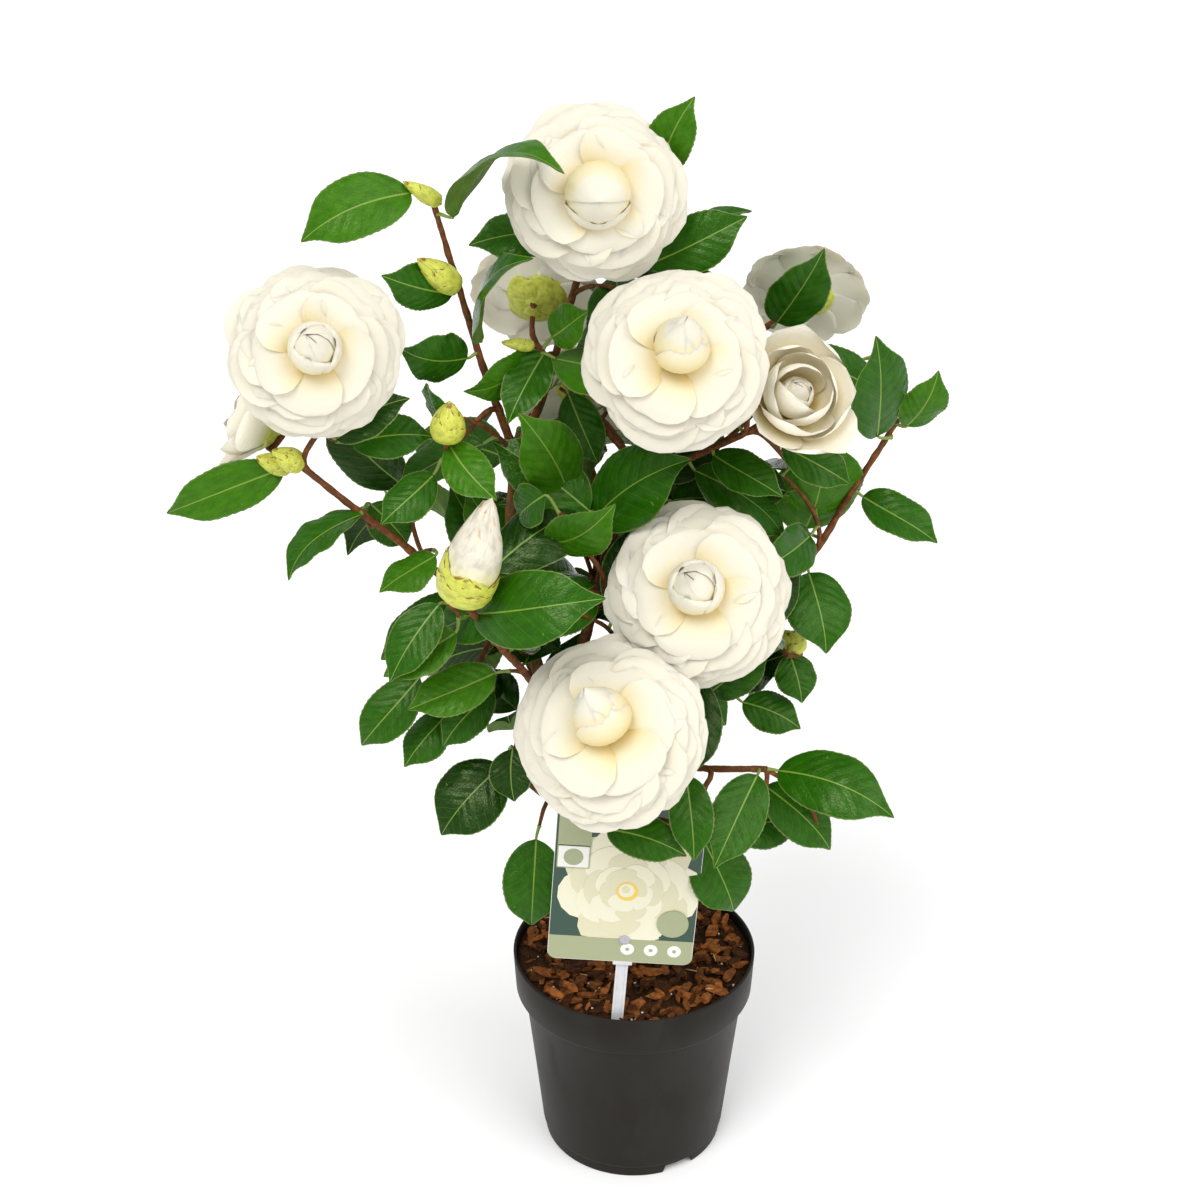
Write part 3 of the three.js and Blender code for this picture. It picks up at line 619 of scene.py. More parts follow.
def outward(point):
    """The way that a leaf's upper side looks: up, and away from the middle of the crown."""
    front = 0.8 * math.tanh((point[1] - 22) / 16)
    return unit((0.0016 * (point[0] + 30), front, 0.62))


class Growth:
    """The whole plant's plan: limbs, twigs, stalks and leaves."""

    def __init__(self, settings, eye):
        self.settings = settings
        self.random = np.random.default_rng(settings.seed)
        self.limbs = limb_paths()
        self.twigs = []      # (path, root radius, tip radius)
        self.stalks = []     # path
        self.leaves = []     # foot, tip, way the upper side looks, look
        self.crown = Crown(eye)
        self.hearts()
        for _heart, leaves in SPRAYS.values():
            for spec in leaves:
                self.place_leaf(spec)
        self.blooms()
        self.side_shoots()
        self.extra_leaves()

    def wood(self):
        return [*self.limbs.values(), *(path for path, _root, _tip in self.twigs)]

    def twig(self, start, start_way, end, end_way, root=1.5, tip=1.0):
        if np.linalg.norm(np.subtract(end, start)) < 3:
            return
        steps = max(5, int(np.linalg.norm(np.subtract(end, start)) / 4))
        self.twigs.append((bend_path(start, start_way, end, end_way, steps), root, tip))

    def hearts(self):
        for heart, _leaves in SPRAYS.values():
            heart = np.array(heart, float)
            _gap, start, way = nearest_on(self.limbs.values(), heart)
            self.twig(start, way, heart, heart - start, 1.8, 1.2)

    def place_leaf(self, spec):
        foot, tip = np.array(spec["foot"], float), np.array(spec["tip"], float)
        along = unit(tip - foot)
        gap, start, way = nearest_on(self.wood(), foot)
        stalk = 9 + self.random.uniform(-1, 2)
        if gap > stalk + 4:
            joint = foot - unit(0.6 * along + unit(foot - start)) * stalk
            self.twig(start, way + unit(joint - start), joint, unit(joint - start) + along)
            start, way = joint, unit(joint - start)
        straight = unit(foot - start)
        self.stalks.append(bend_path(start, 0.4 * way + straight, foot, along + 0.5 * straight))
        self.leaves.append((foot, tip, outward((foot + tip) / 2), spec))

    def blooms(self):
        for middle, faces, radius, _kind, opened, *_lean in BLOOMS:
            seat = bloom_seat(middle, faces, radius, opened) - unit(faces) * calyx_size(radius) * 0.6
            _gap, start, way = nearest_on(self.wood(), seat)
            self.twig(start, way, seat, faces, 1.9, 2.3)
        for foot, tip, radius, _kind in BUDS:
            _gap, start, way = nearest_on(self.wood(), np.array(foot, float))
            self.twig(start, way, foot, np.subtract(tip, foot), 1.2, min(1.6, radius * 0.5))

    def side_shoots(self):
        """Short shoots from the limbs, turned by the golden angle, where foliage hides them."""
        turn = 0.4
        for name, path in self.limbs.items():
            if name in ("stem", "bough_top_left"):
                continue
            for part in (0.3, 0.5, 0.7, 0.88, 0.98):
                turn += GOLDEN_ANGLE
                start = point_along(path, part)
                way = unit(point_along(path, min(1, part + 0.05)) - point_along(path, part - 0.05))
                out = turned(square_to(UP, way), way, turn)
                reach = self.random.uniform(34, 58)
                end = start + unit(out + 0.45 * way + 0.25 * UP) * reach
                if self.crown.allows(end):
                    self.twig(start, way + 0.5 * out, end, out + 0.3 * UP, 1.5, 1.0)

    def extra_leaves(self):
        """Leaves round the twigs and limbs, each a golden angle on from the last."""
        low, high = self.settings.shortest / MM, self.settings.longest / MM
        middles = [(foot + tip) / 2 for foot, tip, _way, _spec in self.leaves]
        fixed = len(self.leaves)
        turn = 0.0
        for path in reversed(self.wood()):
            spots = np.arange(lengths_along(path)[-1], 8, -NODE_GAP)
            for spot in spots:
                turn += GOLDEN_ANGLE
                node = point_along(path, spot / lengths_along(path)[-1])
                if node[2] < LOWEST_NODE:
                    continue
                _gap, _place, way = nearest_on([path], node)
                out = turned(square_to(UP, way), way, turn)
                along = unit(out + 0.35 * way + self.random.normal(0, 0.12, 3))
                foot = node + along * NODE_STALK
                tip = foot + unit(along - 0.18 * UP) * self.random.uniform(low, high)
                middle = (foot + tip) / 2
                across = np.cross(unit(tip - foot), outward(middle)) * 12
                tests = [middle, middle + across, middle - across, tip, 0.25 * foot + 0.75 * tip]
                gaps = np.linalg.norm(np.array(middles) - middle, axis=1)
                if gaps.min() < LEAF_GAP or not all(self.crown.allows(test) for test in tests):
                    continue
                middles.append(middle)
                self.place_leaf(leaf(foot, tip, roll=self.random.uniform(-25, 25)))
                if len(self.leaves) - fixed >= self.settings.extra:
                    return


# ---------------------------------------------------------------- materials
def finish_of(name, base, roughness, **sockets):
    """A material with a plain shader, and its node tree and shader to add to."""
    material = bpy.data.materials.new(name)
    material.use_nodes = True
    material.diffuse_color = (*base, 1)
    tree = material.node_tree
    shader = tree.nodes["Principled BSDF"]
    shader.inputs["Base Color"].default_value = (*base, 1)
    shader.inputs["Roughness"].default_value = roughness
    for key, value in sockets.items():
        shader.inputs[key.replace("_", " ")].default_value = value
    return material, tree, shader


def add_node(tree, kind, inputs=None, **fields):
    node = tree.nodes.new(kind)
    for key, value in fields.items():
        setattr(node, key, value)
    for key, value in (inputs or {}).items():
        if isinstance(value, bpy.types.NodeSocket):
            tree.links.new(value, node.inputs[key])
        else:
            node.inputs[key].default_value = value
    return node


def maths(tree, operation, *values):
    return add_node(tree, "ShaderNodeMath", dict(enumerate(values)), operation=operation).outputs[0]


def shade_between(tree, low, high, factor):
    """A colour that goes from low to high with the factor."""
    node = add_node(tree, "ShaderNodeMix", data_type="RGBA")
    for socket, value in ((node.inputs[6], low), (node.inputs[7], high), (node.inputs[0], factor)):
        if isinstance(value, bpy.types.NodeSocket):
            tree.links.new(value, socket)
        else:
            socket.default_value = (*value, 1) if hasattr(value, "__len__") else value
    return node.outputs[2]


def between(tree, value, low, high, start=0.0, end=1.0):
    return add_node(tree, "ShaderNodeMapRange", {
        "Value": value, "From Min": low, "From Max": high, "To Min": start, "To Max": end,
    }, interpolation_type="SMOOTHSTEP").outputs[0]


def noise(tree, place, scale, detail=3.0, roughness=0.55):
    return add_node(tree, "ShaderNodeTexNoise", {
        "Vector": place, "Scale": scale, "Detail": detail, "Roughness": roughness,
    }).outputs["Fac"]


def object_place(tree, scale=(1, 1, 1)):
    coordinates = add_node(tree, "ShaderNodeTexCoord")
    return add_node(tree, "ShaderNodeMapping", {
        "Vector": coordinates.outputs["Object"], "Scale": scale}).outputs[0]


def bump(tree, shader, height, millimetres, strength=1.0):
    node = add_node(tree, "ShaderNodeBump", {
        "Height": height, "Distance": millimetres * MM, "Strength": strength})
    tree.links.new(node.outputs[0], shader.inputs["Normal"])


def cell_place(tree, slot, cells):
    """A point's place in its slot's cell of the UV map, from 0 to 1 each way."""
    across, up = cells
    where = add_node(tree, "ShaderNodeUVMap", uv_map=UV_MAP).outputs[0]
    cell = (-(slot % across), -(slot // across), 0)
    place = add_node(tree, "ShaderNodeMapping", {
        "Vector": where, "Scale": (across, up, 1), "Location": cell}).outputs[0]
    return place


def blade_material(name, base, slot, cells, roughness, vein, gloss):
    """A leaf's skin: mottled, with paired veins that run forward from the middle rib."""
    material, tree, shader = finish_of(
        name, base, roughness, Specular_IOR_Level=gloss, Specular_Tint=(0.86, 1.0, 0.55, 1))
    place = cell_place(tree, slot, cells)
    parts = add_node(tree, "ShaderNodeSeparateXYZ", {"Vector": place}).outputs
    aside = maths(tree, "ABSOLUTE", maths(tree, "SUBTRACT", parts[1], 0.5))
    wander = noise(tree, place, 5.0, 2.0)
    phase = maths(tree, "SUBTRACT", maths(tree, "MULTIPLY", parts[0], 9.0),
                  maths(tree, "MULTIPLY", aside, 5.2))
    phase = maths(tree, "ADD", phase, maths(tree, "MULTIPLY", wander, 0.5))
    ridge = maths(tree, "PINGPONG", phase, 0.5)
    line = between(tree, ridge, 0.0, 0.06, 1.0, 0.0)
    fade = between(tree, aside, 0.42, 0.5, 1.0, 0.0)
    line = maths(tree, "MULTIPLY", line, fade)
    mottle = between(tree, noise(tree, place, 9.0, 4.0), 0.3, 0.7)
    dark = tuple(0.72 * c for c in base)
    skin = shade_between(tree, dark, base, mottle)
    skin = shade_between(tree, skin, vein, maths(tree, "MULTIPLY", line, 0.2))
    tree.links.new(skin, shader.inputs["Base Color"])
    net = add_node(tree, "ShaderNodeTexVoronoi", {"Vector": place, "Scale": 26.0},
                   feature="DISTANCE_TO_EDGE").outputs["Distance"]
    height = maths(tree, "ADD", maths(tree, "MULTIPLY", ridge, 0.8),
                   maths(tree, "MULTIPLY", between(tree, net, 0.0, 0.12), 0.12))
    bump(tree, shader, height, 0.8, 0.6)
    return material


def plain_rib(name, base, slot, cells, roughness=0.42):
    material, tree, shader = finish_of(name, base, roughness)
    spots = noise(tree, cell_place(tree, slot, cells), 14.0)
    dark = tuple(0.72 * c for c in base)
    tree.links.new(shade_between(tree, dark, base, spots), shader.inputs["Base Color"])
    return material


def petal_material(name, colours, slot, cells, foot_reach):
    """A petal: yellow at its foot, cream, then white, with faint veins along it. The yellow and cream
    toward the foot are partly the petal's own tint and partly painted warm shade for the crevices
    between petals.
    """
    white, cream, yellow = (tuple(c) for c in colours)
    material, tree, shader = finish_of(
        name, white, 0.52, Subsurface_Weight=0.25, Subsurface_Radius=(0.0012, 0.0010, 0.0007))
    shader.inputs["Subsurface Scale"].default_value = 1.0
    place = cell_place(tree, slot, cells)
    parts = add_node(tree, "ShaderNodeSeparateXYZ", {"Vector": place}).outputs
    wander = maths(tree, "MULTIPLY", maths(tree, "SUBTRACT", noise(tree, place, 4.0), 0.5), 0.12)
    along = maths(tree, "ADD", parts[0], wander)
    # Yellow and cream toward the foot: partly the petal's own tint, partly painted warm shade where the
    # petals overlap.
    skin = shade_between(tree, yellow, cream, between(tree, along, 0.0, foot_reach))
    skin = shade_between(tree, skin, white, between(tree, along, foot_reach * 0.8, 0.72))
    tree.links.new(skin, shader.inputs["Base Color"])
    fine = add_node(tree, "ShaderNodeMapping", {"Vector": place, "Scale": (1.5, 26, 1)}).outputs[0]
    soft = add_node(tree, "ShaderNodeMapping", {"Vector": place, "Scale": (2.2, 3, 1)}).outputs[0]
    height = maths(tree, "ADD", maths(tree, "MULTIPLY", noise(tree, fine, 2.0, 2.0), 0.25),
                   noise(tree, soft, 1.6, 2.0))
    bump(tree, shader, height, 0.9, 0.35)
    return material


def scale_material(name, base, bruise, slot, cells, bruised=0.765, foot=None):
    """A sepal or bud scale: brown marks near its tip, and another colour at its foot."""
    material, tree, shader = finish_of(name, base, 0.42)
    place = cell_place(tree, slot, cells)
    parts = add_node(tree, "ShaderNodeSeparateXYZ", {"Vector": place}).outputs
    pale = shade_between(tree, tuple(0.7 * c for c in base), base,
                         between(tree, noise(tree, place, 5.0), 0.3, 0.6))
    if foot:
        pale = shade_between(tree, foot, pale, between(tree, parts[0], 0.1, 0.6))
    wide = add_node(tree, "ShaderNodeMapping", {"Vector": place, "Scale": (1.0, 0.6, 1)}).outputs[0]
    blotch = maths(tree, "ADD", noise(tree, wide, 6.0, 2.0),
                   maths(tree, "MULTIPLY", parts[0], 0.25))
    marks = between(tree, blotch, bruised, bruised + 0.07)
    tree.links.new(shade_between(tree, pale, bruise, marks), shader.inputs["Base Color"])
    bump(tree, shader, noise(tree, place, 12.0), 0.4, 0.5)
    return material


def bark_material(settings):
    """Red-brown young bark that turns grey-brown and fissured with age."""
    material, tree, shader = finish_of(
        "camellia_bark", settings.old, 0.72, Specular_IOR_Level=0.25)
    place = object_place(tree)
    age = add_node(tree, "ShaderNodeAttribute", attribute_name="age").outputs["Fac"]
    patches = noise(tree, place, 240.0, 4.0)
    streaks = noise(tree, object_place(tree, (1, 1, 0.22)), 700.0, 3.0)
    old_dark = tuple(0.42 * c for c in settings.old)
    old = shade_between(tree, old_dark, tuple(settings.old), between(tree, streaks, 0.35, 0.62))
    young_light = tuple(min(1, 1.9 * c) for c in settings.young)
    young = shade_between(tree, tuple(settings.young), young_light, between(tree, patches, 0.4, 0.7))
    edge = maths(tree, "ADD", age, maths(tree, "MULTIPLY", maths(tree, "SUBTRACT", patches, 0.5), 0.5))
    tree.links.new(shade_between(tree, young, old, between(tree, edge, 0.25, 0.75)),
                   shader.inputs["Base Color"])
    height = maths(tree, "ADD", streaks, maths(tree, "MULTIPLY", patches, 0.6))
    bump(tree, shader, height, 0.5, 0.8)
    return material


def stalk_material():
    material, tree, shader = finish_of("camellia_stalk", (0.20, 0.30, 0.045), 0.45)
    spots = noise(tree, object_place(tree), 260.0)
    tree.links.new(shade_between(tree, (0.11, 0.17, 0.02), (0.27, 0.38, 0.06), spots),
                   shader.inputs["Base Color"])
    return material


def plastic_material(settings):
    """Dull black plastic with a fine moulded grain and a little dust."""
    material, tree, shader = finish_of("pot_plastic", settings.plastic, 0.5, Specular_IOR_Level=0.14)
    place = object_place(tree)
    grain = noise(tree, place, 1500.0, 2.0)
    dust = between(tree, noise(tree, object_place(tree, (1, 1, 0.5)), 42.0, 5.0), 0.42, 0.8)
    worn = tuple(c + 0.010 for c in settings.plastic)
    tree.links.new(shade_between(tree, tuple(settings.plastic), worn, dust),
                   shader.inputs["Base Color"])
    tree.links.new(between(tree, dust, 0, 1, 0.46, 0.62), shader.inputs["Roughness"])
    bump(tree, shader, grain, 0.12, 0.5)
    return material


def earth_material(name, base, scale, spread=0.45, roughness=0.9):
    material, tree, shader = finish_of(name, base, roughness, Specular_IOR_Level=0.12)
    place = object_place(tree)
    patches = between(tree, noise(tree, place, scale, 5.0), 0.3, 0.7)
    dark = tuple(spread * c for c in base)
    tree.links.new(shade_between(tree, dark, tuple(base), patches), shader.inputs["Base Color"])
    bump(tree, shader, noise(tree, place, scale * 3, 4.0), 0.6, 0.9)
    return material


def print_material(name, base, roughness=0.32):
    """A flat printed colour under a clear film, with a faint tooth to the board."""
    material, tree, shader = finish_of(name, base, roughness, Coat_Weight=0.25, Coat_Roughness=0.2)
    spots = noise(tree, object_place(tree), 900.0, 2.0)
    tree.links.new(shade_between(tree, tuple(0.93 * c for c in base), tuple(base), spots),
                   shader.inputs["Base Color"])
    bump(tree, shader, spots, 0.05, 0.3)
    return material


# ---------------------------------------------------------------- modelling by hand
def deselect_all():
    if bpy.context.mode != "OBJECT":
        bpy.ops.object.mode_set(mode="OBJECT")
    bpy.ops.object.select_all(action="DESELECT")


def only(piece):
    deselect_all()
    piece.select_set(True)
    bpy.context.view_layer.objects.active = piece


def profile_piece(name, points):
    """A mesh of one open line, ready to spin."""
    mesh = bpy.data.meshes.new(name)
    edges = [(k, k + 1) for k in range(len(points) - 1)]
    mesh.from_pydata([(x * MM, 0, z * MM) for x, z in points], edges, [])
    piece = bpy.data.objects.new(name, mesh)
    bpy.context.scene.collection.objects.link(piece)
    return piece


def spun(piece, steps):
    """Spins a line once round the upright axis, closes the seam and turns faces outward."""
    only(piece)
    bpy.ops.object.mode_set(mode="EDIT")
    bpy.ops.mesh.select_all(action="SELECT")
    bpy.ops.mesh.spin(steps=steps, angle=2 * math.pi, center=(0, 0, 0), axis=(0, 0, 1))
    bpy.ops.mesh.select_all(action="SELECT")
    bpy.ops.mesh.remove_doubles(threshold=0.00002)
    bpy.ops.mesh.normals_make_consistent(inside=False)
    bpy.ops.object.mode_set(mode="OBJECT")
    return piece


def apply_modifier(piece, kind, **fields):
    only(piece)
    modifier = piece.modifiers.new(kind.title(), kind)
    for key, value in fields.items():
        setattr(modifier, key, value)
    bpy.ops.object.modifier_apply(modifier=modifier.name)


def settle(piece, material, node=None, crease=35):
    """Gives a hand-made piece its place in its mesh, its finish and its body."""
    only(piece)
    bpy.ops.object.transform_apply(location=True, rotation=True, scale=True)
    bpy.ops.object.shade_smooth_by_angle(angle=math.radians(crease))
    piece.data.materials.clear()
    piece.data.materials.append(material)
    return join_frame(piece, [node] if node else [])


def join_frame(piece, nodes):
    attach(piece, BODY)
    if nodes:
        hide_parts(*nodes)
    return piece


def new_cube(name, size, location):
    deselect_all()
    bpy.ops.mesh.primitive_cube_add(size=1, location=location)
    piece = bpy.context.active_object
    piece.name = piece.data.name = name
    piece.scale = size
    bpy.ops.object.transform_apply(location=False, rotation=False, scale=True)
    return piece


# ---------------------------------------------------------------- pot
def arc(middle, radius, start, end, steps=5):
    turns = np.radians(np.linspace(start, end, steps))
    return [(middle[0] + radius * math.cos(t), middle[1] + radius * math.sin(t)) for t in turns]


def pot_outline(settings):
    """The pot's half section, from the middle of its underside round to the middle of its
    floor: flat underside, drain channel, foot ring, wall, chamfered step and rim band."""
    height, rim, base = (v / MM for v in (settings.height, settings.rim_radius, settings.base_radius))
    wall, band = settings.wall / MM, settings.band / MM
    shoulder = height - band
    body_top = rim - 6.5
    return [
        (0, 0), *arc((42.8, 1.0), 1.0, -90, -15), (44.8, 5.0), *arc((46.3, 5.2), 0.8, 165, 90, 3),
        *arc((52.8, 5.0), 1.0, 90, 0, 3), (53.8, 0.7), (54.3, 0),
        *arc((55.0, 0.8), 0.8, -90, 0), (base - 1.1, 7.2), (base - 0.4, 8.0),
        *arc((base - 0.9, 9.0), 0.9, -50, 5, 3),
        (base + (body_top - base) * 0.5, (shoulder + 9) * 0.5), (body_top - 0.2, shoulder - 4.6),
        (body_top + 0.3, shoulder - 3.6), (rim - 1.9, shoulder - 0.9), (rim - 1.3, shoulder + 0.2),
        (rim - 0.6, shoulder + band * 0.5),
        *arc((rim - wall / 2, height - wall / 2), wall / 2, 0, 180, 7),
        (rim - wall - 0.6, shoulder + 3), (body_top - wall, shoulder - 3.5),
        (base - wall, 9.5), *arc((base - wall - 2, 9.8), 2, 0, -90, 3), (44.5, 7.8),
        (42.5, 1.8), (0, 1.8),
    ]


def make_pot(settings):
    """The turned pot, with three notches cut through its foot ring."""
    piece = spun(profile_piece("pot_moulding", pot_outline(settings)), 128)
    depth, height, mouth_flare = 0.009, 0.011, 1.39
    ring_radius, lift = 0.0542, 0.0002
    for k in range(3):
        turn = math.radians(-60 + 120 * k)
        cutter = new_cube("notch_cutter", (depth, settings.notch_width * 0.72, height), (0, 0, 0))
        for corner in cutter.data.vertices:
            if corner.co.z < 0:
                corner.co.y *= mouth_flare
            corner.co.x += ring_radius
            corner.co.z += lift
        cutter.data.transform(Matrix.Rotation(turn, 4, "Z"))
        apply_modifier(piece, "BOOLEAN", object=cutter, operation="DIFFERENCE", solver="EXACT")
        bpy.data.objects.remove(cutter)
    return settle(piece, plastic_material(settings), "pot", 32)


# ---------------------------------------------------------------- soil and bark mulch
def make_soil(settings):
    """The root ball: a turned plug whose top is a crumbly bed."""
    level = settings.level / MM
    outline = [(0, 2.6), (42.2, 2.6), (44.6, 8.6), (52.5, 8.6), (55.1, 11.0), (66.2, 105.5),
               (71.2, 113.5), (72.4, level - 1.2), (71.6, level - 0.2)]
    outline += [(radius, level) for radius in np.linspace(69.5, 0, 30)]
    piece = spun(profile_piece("soil_bed", outline), 96)
    waves = np.random.default_rng(settings.seed).uniform(0, FULL_TURN, 6)
    for corner in piece.data.vertices:
        x, y = corner.co.x / MM, corner.co.y / MM
        if corner.co.z > (level - 1) * MM and math.hypot(x, y) < 70.5:
            lift = (math.sin(0.23 * x + waves[0]) * math.cos(0.19 * y + waves[1])
                    + 0.6 * math.sin(0.61 * x + 0.4 * y + waves[2])
                    + 0.5 * math.sin(0.83 * y - 0.5 * x + waves[3]))
            corner.co.z += 0.8 * lift * MM
    material = earth_material("peat", settings.peat, 420.0)
    return settle(piece, material, "root_ball", 60)


def add_chip(bunch, middle, size, tilt, turn, random, slot):
    """One splinter of bark: an uneven slab with broken ends."""
    sides = int(random.integers(5, 8))
    turns = np.linspace(0, 2 * math.pi, sides, endpoint=False) + random.uniform(-0.3, 0.3, sides)
    outline = np.stack([np.cos(turns), np.sin(turns)], axis=1) * random.uniform(0.72, 1.1, (sides, 1))
    long, wide, thick = size
    top = np.column_stack([outline[:, 0] * long * 0.9, outline[:, 1] * wide * 0.86,
                           thick * (0.5 + random.uniform(-0.25, 0.25, sides))])
    bottom = np.column_stack([outline[:, 0] * long, outline[:, 1] * wide,
                              -thick * (0.5 + random.uniform(-0.25, 0.25, sides))])
    points = np.concatenate([bottom, top])
    normal = unit((math.cos(tilt[1]) * math.sin(tilt[0]), math.sin(tilt[1]) * math.sin(tilt[0]),
                   math.cos(tilt[0])))
    way = square_to((math.cos(turn), math.sin(turn), 0), normal)
    across = np.cross(normal, way)
    points = middle + points @ np.stack([way, across, normal])
    first = np.arange(sides)
    after = np.roll(first, -1)
    walls = np.stack([first, after, after + sides, first + sides], axis=1)
    bunch.add(points, [(walls, slot), ([first[::-1]], slot), ([first + sides], slot)])


def make_mulch(settings):
    random = np.random.default_rng(settings.seed)
    level = settings.level / MM
    longest = settings.chip_length / MM
    bunch = Bunch()
    for k in range(settings.chips):
        reach = 69 * math.sqrt((k + 0.5) / settings.chips)
        turn = k * GOLDEN_ANGLE + random.uniform(-0.3, 0.3)
        size = np.array([random.uniform(0.20, 0.52) * longest, random.uniform(1.8, 4.8),
                         random.uniform(0.9, 2.2)])
        reach = min(reach, 72 - size[0])
        if k % 3 == 2:
            size *= 0.6
        rise = random.uniform(0.2, 3.4) + (1.6 if k % 4 == 0 else 0)
        middle = (reach * math.cos(turn), reach * math.sin(turn), level + rise)
        tilt = (abs(random.normal(0, 0.26)), random.uniform(0, FULL_TURN))
        add_chip(bunch, middle, size, tilt, random.uniform(0, FULL_TURN), random,
                 int(random.integers(0, 4)))
    tints = (0.9, 0.48, 0.24, 1.25)
    materials = [earth_material(f"bark_chip_{k}", tuple(min(1, tint * c) for c in settings.bark), 300.0,
                                0.4, 0.8) for k, tint in enumerate(tints)]
    return join_frame(bunch.piece("bark_mulch", materials, smooth=False), [])


def make_grains(settings):
    """Perlite, crumbs of peat and a few straws on the mulch."""
    random = np.random.default_rng(settings.seed + 1)
    level = settings.level / MM
    bunch = Bunch()
    for k in range(settings.grains):
        reach = 70.5 * math.sqrt(random.uniform(0, 1))
        turn = random.uniform(0, FULL_TURN)
        slot = 0 if k % 6 == 0 else 1
        size = random.uniform(0.45, 0.95, 3) * (1.0 if slot == 0 else 1.5)
        middle = (reach * math.cos(turn), reach * math.sin(turn), level + random.uniform(0.4, 3.2))
        add_chip(bunch, middle, size, (random.uniform(0, 1.2), turn), turn, random, slot)
    for k in range(16):
        reach, turn = random.uniform(10, 66), random.uniform(0, FULL_TURN)
        middle = (reach * math.cos(turn), reach * math.sin(turn), level + random.uniform(3, 5))
        size = (random.uniform(2.5, 5), 0.5, 0.4)
        add_chip(bunch, middle, size, (random.uniform(0, 0.3), turn), random.uniform(0, FULL_TURN),
                 random, 2)
    materials = [earth_material("perlite", (0.62, 0.58, 0.50), 500.0, 0.8),
                 earth_material("peat_crumb", (0.075, 0.032, 0.014), 500.0),
                 earth_material("straw", (0.52, 0.34, 0.15), 300.0, 0.7)]
    return join_frame(bunch.piece("loose_grains", materials, smooth=False), [])


# ---------------------------------------------------------------- label
CARD_HALF = 0.45         # half the card's thickness
CARD_BAND = 16.5         # height of the printed band at its foot
PRINTED_PETALS = 30


def card_middle():
    """The middle of the CAD card, in the plant's millimetres."""
    low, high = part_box("label_card")
    return (np.array(low) + np.array(high)) / 2 / MM


def on_card(settings, across, forward, up):
    """A point of the card, from its own middle, in the plant's millimetres."""
    lean = settings.lean
    middle = card_middle()
    return (middle[0] + across * math.cos(lean) + up * math.sin(lean), middle[1] - forward,
            middle[2] - across * math.sin(lean) + up * math.cos(lean))


def add_plate(bunch, settings, outline, back, front, slot):
    """A flat printed shape: an outline on the card, from one depth to another."""
    count = len(outline)
    points = [on_card(settings, x, back, z) for x, z in outline]
    points += [on_card(settings, x, front, z) for x, z in outline]
    first = np.arange(count)
    after = np.roll(first, -1)
    walls = np.stack([first, after, after + count, first + count], axis=1)
    bunch.add(points, [(walls, slot), ([first[::-1]], slot), ([first + count], slot)])


def rounded_box(left, right, low, high, corner, steps=6):
    points = []
    for x, z, start in ((right - corner, low + corner, -90), (right - corner, high - corner, 0),
                        (left + corner, high - corner, 90), (left + corner, low + corner, 180)):
        points += arc((x, z), corner, start, start + 90, steps)
    return points


def disc(x, z, radius, steps=28):
    return arc((x, z), radius, 0, 360 * (1 - 1 / steps), steps)


def printed_petal(x, z, turn, reach, half, steps=7):
    """A petal's flat outline, from its foot at a point out to its round tip."""
    points = [(0, -half * 0.25), (reach * 0.45, -half * 0.86)]
    points += [(reach * 0.62 + reach * 0.38 * math.cos(t), half * math.sin(t))
               for t in np.linspace(-1.35, 1.35, steps)]
    points += [(reach * 0.45, half * 0.86), (0, half * 0.25)]
    c, s = math.cos(turn), math.sin(turn)
    return [(x + c * a - s * b, z + s * a + c * b) for a, b in points]


def clipped(outline, left, right, low, high):
    return [(min(max(x, left), right), min(max(z, low), high)) for x, z in outline]


